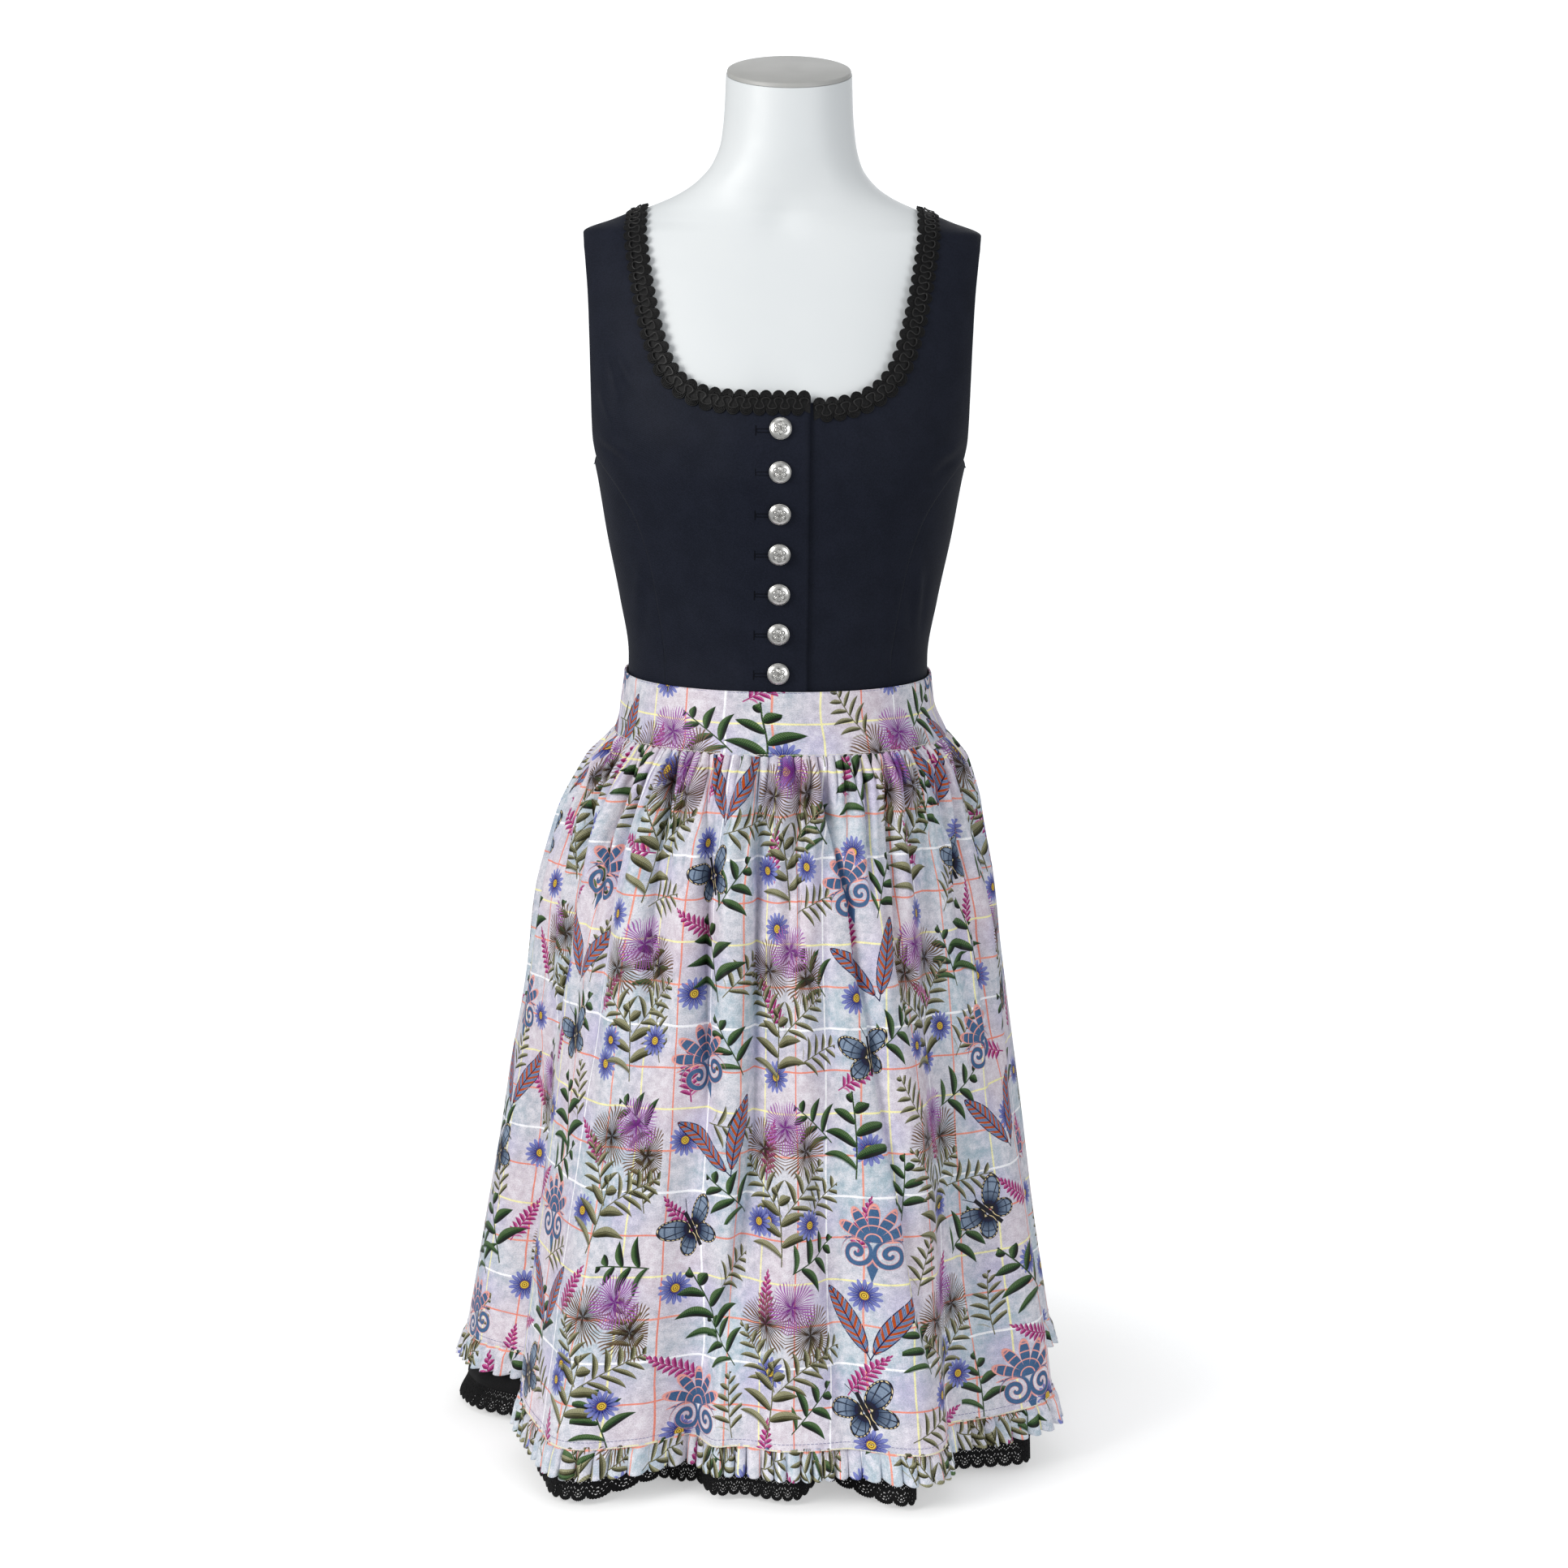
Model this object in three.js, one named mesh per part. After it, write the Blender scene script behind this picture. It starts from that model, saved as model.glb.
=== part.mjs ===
// A sleeveless dirndl, with its apron tied on, worn by a limbless dress form on a short stand.
// Millimetres, +Z up, the front faces -Y and the wearer's right is at -X.
// The origin is the centre of the base plate's underside.
import * as THREE from 'three';

// ---- driving dimensions --------------------------------------------------------------------

const CLOTH = 1.2;                // wall of the bodice cloth
const SKIRT_CLOTH = 2;            // wall of skirt, apron and lace, measured level
const SEAM = 0.3;                 // space between neighbouring pieces
const SHOULDER_TIP_Z = 927;       // outer end of the shoulder seam
const SHOULDER_NECK_Z = 946;      // inner end of the shoulder seam
const WAIST_SEAM_Z = 572;         // bodice and skirt meet here, under the apron band
const FORM_BOTTOM_Z = 400;
const SKIRT_HEM_Z = 23;           // the lace hangs below this
const LACE_HEM_Z = 4;
const RUFFLE_HEIGHT = 20;
const OVERLAP_EDGE_X = 22;        // edge of the buttoned front, past the centre line
const UNDERLAP_EDGE_X = -12;
const OVERLAP_LIFT = 2.8;         // the buttoned front rides over the other one by this
const LEFT_NECK_DROP = 5;         // the front that lies underneath is cut lower at the centre
const BUTTON = { radius: 8.5, height: 5, rim: 1.4, count: 7, topZ: 787, pitch: 30.6, x: 0.5 };
const BRAID = { width: 14.5, thickness: 1.8, scallop: 1.2, pitch: 9, past: 1.5, lift: 0.7 };
const BASE_PLATE = { radius: 135, height: 10, bevel: 3 };
const POLE_RADIUS = 12.5;
const GATHERS = 72;               // along the apron band
const RUFFLE_WAVES = 84;
const BACK_GATHERS = 18;          // of the dress skirt, where the apron leaves it bare
const APRON_REACH = 108;          // degrees from the centre front to each side edge
const BAND = { bottomZ: 546, topZ: 593.5, frontDrop: 4, thickness: 1.8 };
const KNOT = { halfWidth: 19, halfHeight: 17, depth: 14, z: 571 };
const TAIL = { width: 30, bottomZ: 215 };

// Sections of the torso, read upwards. power is the exponent of the superellipse.
const TORSO = [
  { z: 400, halfWidth: 142, front: 104, back: 112, power: 2.3 },
  { z: 450, halfWidth: 145, front: 106, back: 114, power: 2.3 },
  { z: 500, halfWidth: 137, front: 101, back: 106, power: 2.25 },
  { z: 545, halfWidth: 121, front: 95, back: 92, power: 2.2 },
  { z: 572, halfWidth: 114.8, front: 92, back: 85, power: 2.2 },
  { z: 605, halfWidth: 114.6, front: 92.5, back: 84, power: 2.2 },
  { z: 650, halfWidth: 121.5, front: 97, back: 88, power: 2.25 },
  { z: 700, halfWidth: 131.5, front: 106, back: 95, power: 2.3 },
  { z: 742, halfWidth: 138.5, front: 115.5, back: 100, power: 2.4 },
  { z: 757, halfWidth: 141.5, front: 117.5, back: 102, power: 2.45 },
  { z: 772, halfWidth: 144.2, front: 118, back: 103, power: 2.5 },
  { z: 810, halfWidth: 148.4, front: 111, back: 104, power: 2.6 },
  { z: 850, halfWidth: 150.4, front: 95, back: 103, power: 2.7 },
  { z: 890, halfWidth: 151.8, front: 74, back: 97, power: 2.6 },
  { z: 915, halfWidth: 152.5, front: 58, back: 82, power: 2.3 },
  { z: 927, halfWidth: 150, front: 51, back: 70, power: 2.0 },
  { z: 936.5, halfWidth: 127, front: 47, back: 63, power: 1.75 },
  { z: 946, halfWidth: 104, front: 45, back: 59, power: 1.65 },
  { z: 955, halfWidth: 84, front: 45, back: 57, power: 1.75 },
  { z: 966, halfWidth: 68, front: 45, back: 55, power: 1.9 },
  { z: 980, halfWidth: 56.5, front: 45, back: 53, power: 2 },
  { z: 996, halfWidth: 51, front: 45, back: 52, power: 2 },
  { z: 1020, halfWidth: 48.6, front: 45, back: 51, power: 2 },
  { z: 1046, halfWidth: 47.6, front: 45, back: 50, power: 2 },
];
const NECK_TILT = 0.25;           // the neck's top slopes down to the front
const NECK_TILT_FROM_Z = 985;
const NECK_SHIFT_X = 4;
const NECK_TOP_Z = 1046;

// The front and back necklines, from the centre out to the shoulder.
const FRONT_NECKLINE = [
  { x: 0, z: 811 }, { x: 28, z: 811 }, { x: 46, z: 811.6 }, { x: 61, z: 814 }, { x: 74, z: 820.5 },
  { x: 83.5, z: 832 }, { x: 90, z: 850 }, { x: 95.5, z: 873 }, { x: 100, z: 899 }, { x: 103, z: 920 },
  { x: 104, z: 931 }, { x: 104, z: 938 }, { x: 104, z: 943 }, { x: 104, z: 946 },
];
const BACK_NECKLINE = [
  { x: 0, z: 880 }, { x: 28, z: 881 }, { x: 52, z: 886 }, { x: 74, z: 897.5 }, { x: 89, z: 911 },
  { x: 98.5, z: 926 }, { x: 102.5, z: 937 }, { x: 104, z: 943 }, { x: 104, z: 946 },
];
// The armhole's edge as seen from the front or back, from the armpit to the shoulder tip.
const ARMHOLE = [
  { x: 138.5, z: 762 }, { x: 140.4, z: 772 }, { x: 141.2, z: 788 }, { x: 141.6, z: 805 }, { x: 142.1, z: 823 },
  { x: 142.8, z: 843 }, { x: 143.8, z: 864 }, { x: 145.2, z: 885 }, { x: 147, z: 902 }, { x: 148.3, z: 913 },
  { x: 149.1, z: 919.5 }, { x: 149.6, z: 923.5 }, { x: 149.9, z: 926 }, { x: 150, z: 927 },
];
// The seams that shape the bust and the back, from the waist up to the armpit.
const SHAPING_SEAM = [
  { z: 572, front: 84, back: 62 }, { z: 600, front: 85, back: 64 }, { z: 640, front: 89, back: 70 },
  { z: 680, front: 96, back: 80 }, { z: 715, front: 107, back: 96 }, { z: 743, front: 124, back: 118 },
  { z: 754, front: 133, back: 130 }, { z: 762, front: 138.5, back: 138.5 },
];
// Heights of the panels' rows on the centre front and centre back, below the neckline.
const CENTRE_FRONT = [572, 601, 644, 690, 732, 765, 789];
const CENTRE_BACK = [572, 601, 643, 686, 722, 748, 768, 786, 803, 820, 838, 858];

// Sections of the apron's smooth envelope, read downwards. shift moves the section sideways.
const SKIRT = [
  { z: 600, halfWidth: 117, shift: 0, front: 97.2, back: 88, power: 2.2 },
  { z: 590, halfWidth: 117.4, shift: 0, front: 97.4, back: 88.3, power: 2.2 },
  { z: 572, halfWidth: 119.5, shift: 0, front: 98.5, back: 91, power: 2.2 },
  { z: 550, halfWidth: 126, shift: 2.5, front: 103, back: 99, power: 2.16 },
  { z: 538, halfWidth: 132.5, shift: 2.5, front: 110, back: 108, power: 2.13 },
  { z: 525, halfWidth: 140.5, shift: 1.5, front: 118, back: 118, power: 2.1 },
  { z: 500, halfWidth: 151.5, shift: -1, front: 131, back: 134, power: 2.06 },
  { z: 473, halfWidth: 160.5, shift: -3.5, front: 141, back: 147, power: 2.03 },
  { z: 422, halfWidth: 174.5, shift: -4.5, front: 158, back: 165, power: 2 },
  { z: 345, halfWidth: 186, shift: -4.5, front: 176, back: 182, power: 2 },
  { z: 240, halfWidth: 200.5, shift: -5, front: 196, back: 200, power: 2 },
  { z: 135, halfWidth: 214.5, shift: -6.5, front: 217, back: 214, power: 2 },
  { z: 24, halfWidth: 231, shift: -6.5, front: 238, back: 226, power: 2 },
];
// Large folds of skirt and apron. at and spread are degrees round from the centre front, out is
// how far the fold stands out at the hem, or in where it is negative.
const FOLDS = [
  { at: -92, out: 12, spread: 13 }, { at: -68, out: -42, spread: 16 }, { at: -46, out: 10, spread: 8 },
  { at: -33, out: 44, spread: 15 }, { at: -15, out: -34, spread: 7.5 }, { at: -4, out: -13, spread: 9 },
  { at: 28, out: 38, spread: 13 }, { at: 41, out: -12, spread: 8 }, { at: 59, out: 31, spread: 14 },
  { at: 84, out: -26, spread: 18 }, { at: 103, out: 12, spread: 10 }, { at: 119, out: -14, spread: 11 },
  { at: 136, out: 16, spread: 13 }, { at: 157, out: -14, spread: 11 }, { at: 178, out: 14, spread: 12 },
  { at: -161, out: -14, spread: 11 }, { at: -140, out: 16, spread: 13 }, { at: -117, out: -16, spread: 12 },
];
// Where the dress skirt hangs further in than the apron over it.
const SKIRT_RECESSES = [
  { at: -57, out: 14, spread: 14 }, { at: -23, out: 40, spread: 7 },
  { at: 14.5, out: 38, spread: 8.5 }, { at: 32.5, out: 36, spread: 8.5 }, { at: 66, out: 32, spread: 14 },
];
// Where the lace swings out below the skirt's hem.
const LACE_FLARES = [{ at: -88, out: 7, spread: 36 }];

// ---- curves and surfaces -------------------------------------------------------------------

const radians = THREE.MathUtils.degToRad;
const mix = THREE.MathUtils.lerp;
const smooth = THREE.MathUtils.smoothstep;

// A smooth curve through a table's rows that never overshoots them.
function sample(table, key, along, at) {
  const rising = table[table.length - 1][along] > table[0][along];
  const rows = rising ? table : table.slice().reverse();
  const last = rows.length - 1;
  if (at <= rows[0][along]) return rows[0][key];
  if (at >= rows[last][along]) return rows[last][key];
  const slope = (i) => (rows[i + 1][key] - rows[i][key]) / (rows[i + 1][along] - rows[i][along]);
  const tangent = (i) => {
    if (i === 0) return slope(0);
    if (i === last) return slope(last - 1);
    const before = slope(i - 1);
    const after = slope(i);
    return before * after <= 0 ? 0 : (2 * before * after) / (before + after);
  };
  const i = rows.findIndex((row, k) => k < last && at <= rows[k + 1][along]);
  const step = rows[i + 1][along] - rows[i][along];
  const t = (at - rows[i][along]) / step;
  const rise = rows[i + 1][key] - rows[i][key];
  const a = tangent(i) * step - rise;
  const b = rise - tangent(i + 1) * step;
  return rows[i][key] + rise * t + t * (1 - t) * (a * (1 - t) + b * t);
}

const torsoAt = (key, z) => sample(TORSO, key, 'z', z);
const skirtAt = (key, z) => sample(SKIRT, key, 'z', z);

// A point of the torso's skin at a height, seen from the front (face -1) or the back (face 1).
function skin(face, x, z) {
  const power = torsoAt('power', z);
  const share = Math.min(1, Math.abs(x) / torsoAt('halfWidth', z));
  const depth = torsoAt(face < 0 ? 'front' : 'back', z) * (1 - share ** power) ** (1 / power);
  return new THREE.Vector3(x, face * depth, z);
}

// A point of the torso's skin at an angle round from the centre front, in degrees.
function skinRound(angle, z, inset = 0) {
  const turn = 2 / torsoAt('power', z);
  const s = Math.sin(radians(angle));
  const c = Math.cos(radians(angle));
  const halfWidth = torsoAt('halfWidth', z) - inset;
  const depth = torsoAt(c > 0 ? 'front' : 'back', z) - inset;
  return new THREE.Vector3(
    Math.sign(s) * halfWidth * Math.abs(s) ** turn, -Math.sign(c) * depth * Math.abs(c) ** turn, z);
}

// The angle at which skinRound reaches a given x on the front or the back.
function angleOfX(face, x, z) {
  const share = Math.min(1, Math.abs(x) / torsoAt('halfWidth', z));
  const angle = THREE.MathUtils.radToDeg(Math.asin(share ** (torsoAt('power', z) / 2)));
  return Math.sign(x) * (face < 0 ? angle : 180 - angle);
}

// Moves a surface point along the surface's normal, which points away from the body's axis.
function lifted(surface, u, v, distance) {
  const at = surface(u, v);
  const step = 0.002;
  const du = surface(Math.min(1, u + step), v).sub(surface(Math.max(0, u - step), v));
  const dv = surface(u, Math.min(1, v + step)).sub(surface(u, Math.max(0, v - step)));
  const normal = du.cross(dv).normalize();
  const outward = new THREE.Vector3(at.x, at.y, at.z > 915 ? 60 : 0);
  if (normal.dot(outward) < 0) normal.negate();
  return at.addScaledVector(normal, distance);
}

const bump = (angle, fold) => {
  const away = THREE.MathUtils.euclideanModulo(angle - fold.at + 180, 360) - 180;
  const share = Math.abs(away) / fold.spread;
  return share < 1 ? Math.cos((share * Math.PI) / 2) ** 2 : 0;
};
const total = (folds, angle) => folds.reduce((sum, fold) => sum + fold.out * bump(angle, fold), 0);

// A point of the skirts at an angle round and a height. reach moves it level, away from the axis.
function skirtPoint(angle, z, reach) {
  const s = Math.sin(radians(angle));
  const c = -Math.cos(radians(angle));
  const power = skirtAt('power', z);
  const halfWidth = skirtAt('halfWidth', z);
  const depth = skirtAt(c < 0 ? 'front' : 'back', z);
  const raised = (value, exponent) => Math.sign(value) * Math.abs(value) ** exponent;
  const slope = 2 - 2 / power;
  const across = new THREE.Vector3(raised(s, slope) / halfWidth, raised(c, slope) / depth, 0).normalize();
  const at = new THREE.Vector3(
    skirtAt('shift', z) + halfWidth * raised(s, 2 / power), depth * raised(c, 2 / power), z);
  return at.addScaledVector(across, reach);
}

const growth = (z) => Math.max(0, (545 - z) / (545 - LACE_HEM_Z)) ** 1.25;
const folded = (angle, z) => total(FOLDS, angle) * growth(z);

// ---- mesh building -------------------------------------------------------------------------

function meshFrom(name, positions, faces, material) {
  const corner = (i) => new THREE.Vector3().fromArray(positions, 3 * i);
  const volume = faces.reduce((sum, [a, b, c]) => sum + corner(a).dot(corner(b).cross(corner(c))), 0);
  const turned = volume < 0 ? faces.map(([a, b, c]) => [a, c, b]) : faces;
  const geometry = new THREE.BufferGeometry();
  geometry.setAttribute('position', new THREE.Float32BufferAttribute(positions, 3));
  geometry.setIndex(turned.flat());
  geometry.computeVertexNormals();
  const mesh = new THREE.Mesh(geometry, material);
  mesh.name = name;
  return mesh;
}

// Joins two rows of corner numbers with triangles. The second row has as many cells as the
// first, or half as many.
function strip(first, second, ring) {
  const faces = [];
  const cells = ring ? second.length : second.length - 1;
  const ratio = Math.round((ring ? first.length : first.length - 1) / cells);
  const pick = (row, i) => row[i % row.length];
  for (let i = 0; i < cells; i += 1) {
    const [c, d] = [pick(second, i), pick(second, i + 1)];
    const top = Array.from({ length: ratio + 1 }, (_, k) => pick(first, ratio * i + k));
    if (ratio === 1) faces.push([top[0], c, top[1]], [top[1], c, d]);
    else faces.push([top[0], c, top[1]], [top[1], c, d], [top[1], d, top[2]]);
  }
  return faces;
}

// A cloth wall between two layers of a surface. rows lists { v, columns } from one end to the
// other; point(u, v, lift) gives a point lifted off the surface.
function clothWall(name, material, rows, point, lift, thickness, ring = false) {
  const positions = [];
  const layer = (distance) => rows.map(({ v, columns }) => (
    Array.from({ length: columns + (ring ? 0 : 1) }, (_, i) => {
      positions.push(...point(i / columns, v, distance).toArray());
      return positions.length / 3 - 1;
    })));
  const inside = layer(lift);
  const outside = layer(lift + thickness);
  const last = rows.length - 1;
  const faces = [];
  for (let i = 0; i < last; i += 1) {
    faces.push(...strip(outside[i], outside[i + 1], ring));
    faces.push(...strip(inside[i], inside[i + 1], ring).map(([a, b, c]) => [a, c, b]));
  }
  faces.push(...strip(inside[0], outside[0], ring));
  faces.push(...strip(outside[last], inside[last], ring));
  if (!ring) {
    const edge = (layers, end) => layers.map((row) => row.at(end));
    faces.push(...strip(outside.map((row) => row[0]), inside.map((row) => row[0]), false));
    faces.push(...strip(edge(inside, -1), edge(outside, -1), false));
  }
  return meshFrom(name, positions, faces, material);
}

// A closed solid from rings of points, capped flat at both ends.
function solidOfRings(name, material, rings) {
  const positions = [];
  const rows = rings.map((ring) => ring.map((point) => {
    positions.push(...point.toArray());
    return positions.length / 3 - 1;
  }));
  const faces = [];
  for (let i = 0; i < rows.length - 1; i += 1) faces.push(...strip(rows[i], rows[i + 1], true));
  const cap = (row, top) => {
    for (let i = 1; i < row.length - 1; i += 1) {
      faces.push(top ? [row[0], row[i + 1], row[i]] : [row[0], row[i], row[i + 1]]);
    }
  };
  cap(rows[0], false);
  cap(rows.at(-1), true);
  return meshFrom(name, positions, faces, material);
}

const paint = (color, roughness, metalness = 0) => (
  new THREE.MeshStandardMaterial({ color, roughness, metalness }));
const whiteGloss = paint(0xe9edef, 0.18);
const greyCap = paint(0xaaaaa8, 0.5);
const navyCotton = paint(0x1f222c, 0.8);
const blackTrim = paint(0x1c1c1f, 0.75);
const blackCotton = paint(0x1e1e20, 0.85);
const printedSatin = paint(0xbab5bf, 0.55);
const antiqueSilver = paint(0xb9b8b2, 0.35, 0.9);
const steel = paint(0xb8bbbe, 0.35, 0.8);

// ---- dress form and stand ------------------------------------------------------------------

const FORM_COLUMNS = 32;
const formHeights = [400, 450, 500, 530, 558, 580, 605, 650, 700, 740, 772, 808, 850, 888, 912, 925,
  936, 945.4, 955, 966, 980, 996, 1046];

function formRing(z) {
  const neck = smooth(z, NECK_TILT_FROM_Z, NECK_TOP_Z);
  const armhole = smooth(z, 745, 790) * (1 - smooth(z, 880, 915));
  const shoulder = smooth(z, 905, 925) * (1 - smooth(z, 945, 960));
  const inset = mix(2.4, 1.7, shoulder) * (1 - smooth(z, 947, 956));
  return Array.from({ length: FORM_COLUMNS }, (_, i) => {
    const angle = (360 * i) / FORM_COLUMNS;
    const point = skinRound(angle, z, inset);
    point.x *= 1 - 0.06 * armhole;
    point.x += NECK_SHIFT_X * smooth(z, 940, 1000);
    point.z += neck * NECK_TILT * point.y;
    return point;
  });
}

function form() {
  const torso = solidOfRings('form_torso', whiteGloss, formHeights.map(formRing));
  const topRing = formRing(NECK_TOP_Z);
  const centre = topRing.reduce((sum, p) => sum.add(p), new THREE.Vector3()).divideScalar(topRing.length);
  const capLevel = (grow, rise) => topRing.map((p) => (
    p.clone().sub(centre).multiplyScalar(grow).add(centre).add(new THREE.Vector3(0, 0, rise))));
  const cap = solidOfRings('form_neck_cap', greyCap,
    [capLevel(0.985, SEAM), capLevel(0.985, SEAM + 2.4), capLevel(0.96, SEAM + 3.2)]);
  return [torso, cap];
}

function stand() {
  const { radius, height, bevel } = BASE_PLATE;
  const turned = (name, corners, segments, material) => {
    const outline = corners.map(([r, z]) => new THREE.Vector2(r, z));
    const mesh = new THREE.Mesh(new THREE.LatheGeometry(outline, segments), material);
    mesh.geometry.rotateX(Math.PI / 2);
    mesh.name = name;
    return mesh;
  };
  const plate = [[0, 0], [radius, 0], [radius, height - bevel], [radius - bevel, height], [0, height]];
  const poleBottom = height + SEAM;
  const poleTop = FORM_BOTTOM_Z - SEAM;
  const pole = [[0, poleBottom], [POLE_RADIUS, poleBottom], [POLE_RADIUS, poleTop], [0, poleTop]];
  return [turned('stand_base', plate, 36, steel), turned('stand_pole', pole, 16, steel)];
}

// ---- bodice --------------------------------------------------------------------------------

const PANEL_COLUMNS = { front: 8, back: 6, side: 8 };

// The neckline of one side. The left front's is cut lower towards the centre.
function necklineOf(face, side) {
  if (face > 0) return BACK_NECKLINE;
  const drop = side > 0 ? LEFT_NECK_DROP : 0;
  return FRONT_NECKLINE.map(({ x, z }) => ({ x, z: z - drop * (1 - smooth(x, 25, 100)) }));
}

// The rows of a front or back panel: each runs from an outer point, on the shaping seam or the
// armhole, to an inner point, on the centre edge or the neckline.
function panelRows(face, side, innerX) {
  const seamKey = face < 0 ? 'front' : 'back';
  const centre = face < 0 ? CENTRE_FRONT : CENTRE_BACK;
  const neckline = necklineOf(face, side);
  const reach = neckline.at(-1).x;
  const outer = SHAPING_SEAM.map((row) => [row[seamKey] - SEAM / 2, row.z])
    .concat(ARMHOLE.slice(1).map(({ x, z }) => [x, z]));
  const inner = centre.map((z) => [innerX, z])
    .concat(neckline.map(({ x, z }) => [mix(innerX, reach, x / reach), z]));
  return outer.map((corner, i) => ({ outer: corner, inner: inner[i] }));
}

// A front or back half of the bodice. side is -1 for the wearer's right.
function bodiceHalf(name, face, side, innerX, extraLift) {
  const rows = panelRows(face, side, innerX).map(({ outer, inner }) => ({
    outerAngle: angleOfX(face, ...outer), outerZ: outer[1],
    innerAngle: angleOfX(face, ...inner), innerZ: inner[1],
  }));
  const surface = (u, v) => {
    const i = Math.min(rows.length - 2, Math.floor(v * (rows.length - 1)));
    const t = v * (rows.length - 1) - i;
    const between = (key) => mix(rows[i][key], rows[i + 1][key], t);
    const z = mix(between('outerZ'), between('innerZ'), u);
    const point = skinRound(side * mix(between('outerAngle'), between('innerAngle'), u), z);
    point.y += face * (SEAM / 2) * smooth(z, SHOULDER_TIP_Z - 5, SHOULDER_TIP_Z);
    return point;
  };
  const point = (u, v, lift) => lifted(surface, u, v, lift + extraLift(surface(u, v).x));
  const columns = face < 0 ? PANEL_COLUMNS.front : PANEL_COLUMNS.back;
  const grid = rows.map((_, i) => ({ v: i / (rows.length - 1), columns }));
  return clothWall(name, navyCotton, grid, point, 0, CLOTH);
}

// The side piece wraps from the front shaping seam, under the arm, to the back one.
function bodiceSide(name, side) {
  const last = SHAPING_SEAM.length - 1;
  const surface = (u, v) => {
    const row = v * last;
    const i = Math.min(last - 1, Math.floor(row));
    const t = row - i;
    const z = mix(SHAPING_SEAM[i].z, SHAPING_SEAM[i + 1].z, t);
    const front = mix(SHAPING_SEAM[i].front, SHAPING_SEAM[i + 1].front, t) + SEAM / 2;
    const back = mix(SHAPING_SEAM[i].back, SHAPING_SEAM[i + 1].back, t) + SEAM / 2;
    const angle = mix(angleOfX(-1, front, z), angleOfX(1, back, z), u);
    const dip = 9 * Math.sin(Math.PI * u) * smooth(v, 0.8, 1);
    return skinRound(side * angle, z - dip);
  };
  const point = (u, v, lift) => lifted(surface, u, v, lift);
  const grid = SHAPING_SEAM.map((_, i) => ({ v: i / last, columns: PANEL_COLUMNS.side }));
  return clothWall(name, navyCotton, grid, point, 0, CLOTH);
}

const flat = () => 0;
const overlapLift = (x) => OVERLAP_LIFT * smooth(x, -64, UNDERLAP_EDGE_X - 12);

function bodice() {
  return [
    bodiceHalf('bodice_front_right', -1, -1, -OVERLAP_EDGE_X, overlapLift),
    bodiceHalf('bodice_front_left', -1, 1, UNDERLAP_EDGE_X, flat),
    bodiceSide('bodice_side_right', -1),
    bodiceSide('bodice_side_left', 1),
    bodiceHalf('bodice_back_right', 1, -1, SEAM / 2, flat),
    bodiceHalf('bodice_back_left', 1, 1, SEAM / 2, flat),
  ];
}

// Each button sits square on the buttoned front, a seam's space off the cloth beneath it.
function buttons(front) {
  const { radius, height, rim, count, topZ, pitch, x } = BUTTON;
  const probe = 30;
  const spots = [[0, 0], [1, 0], [-1, 0], [0, 1], [0, -1], [0.7, 0.7], [-0.7, 0.7], [0.7, -0.7], [-0.7, -0.7]];
  const clothUnder = (mesh, outward) => Math.max(...spots.map(([across, up]) => {
    const from = new THREE.Vector3(radius * across, probe, radius * up).applyQuaternion(mesh.quaternion)
      .add(mesh.position);
    const hit = new THREE.Raycaster(from, outward.clone().negate()).intersectObject(front)[0];
    return probe - hit.distance;
  }));
  const outline = [[0, 0], [radius - 0.6, 0], [radius, rim], [0.8 * radius, 0.72 * height],
    [0.42 * radius, 0.95 * height], [0, height]];
  const corners = outline.map(([r, h]) => new THREE.Vector2(r, h));
  return Array.from({ length: count }, (_, i) => {
    const mesh = new THREE.Mesh(new THREE.LatheGeometry(corners, 12), antiqueSilver);
    mesh.name = `button_${i + 1}`;
    const z = topZ - pitch * i;
    const below = skin(-1, x, z - radius);
    const above = skin(-1, x, z + radius);
    const outward = new THREE.Vector3(0, below.z - above.z, above.y - below.y).normalize();
    mesh.quaternion.setFromUnitVectors(new THREE.Vector3(0, 1, 0), outward);
    mesh.position.copy(skin(-1, x, z));
    mesh.position.addScaledVector(outward, clothUnder(mesh, outward) + SEAM);
    return mesh;
  });
}

// ---- neck braid ----------------------------------------------------------------------------

// The neckline of one side as a path of { face, x, z }, from the centre front edge over the
// shoulder to the centre back, with the length run along the skin.
function necklinePath(side, startX) {
  const reach = FRONT_NECKLINE.at(-1).x;
  const front = necklineOf(-1, side).map(({ x, z }) => ({ face: -1, x: mix(startX, reach, x / reach), z }));
  const back = BACK_NECKLINE.slice(0, -1).reverse().map(({ x, z }) => (
    { face: 1, x: Math.max(x, SEAM / 2), z }));
  const path = front.concat(back);
  let length = 0;
  path.forEach((spot, i) => {
    if (i > 0) {
      const before = path[i - 1];
      length += skin(spot.face, side * spot.x, spot.z)
        .distanceTo(skin(i === front.length ? 1 : before.face, side * before.x, before.z));
    }
    spot.length = length;
  });
  return path;
}

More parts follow.
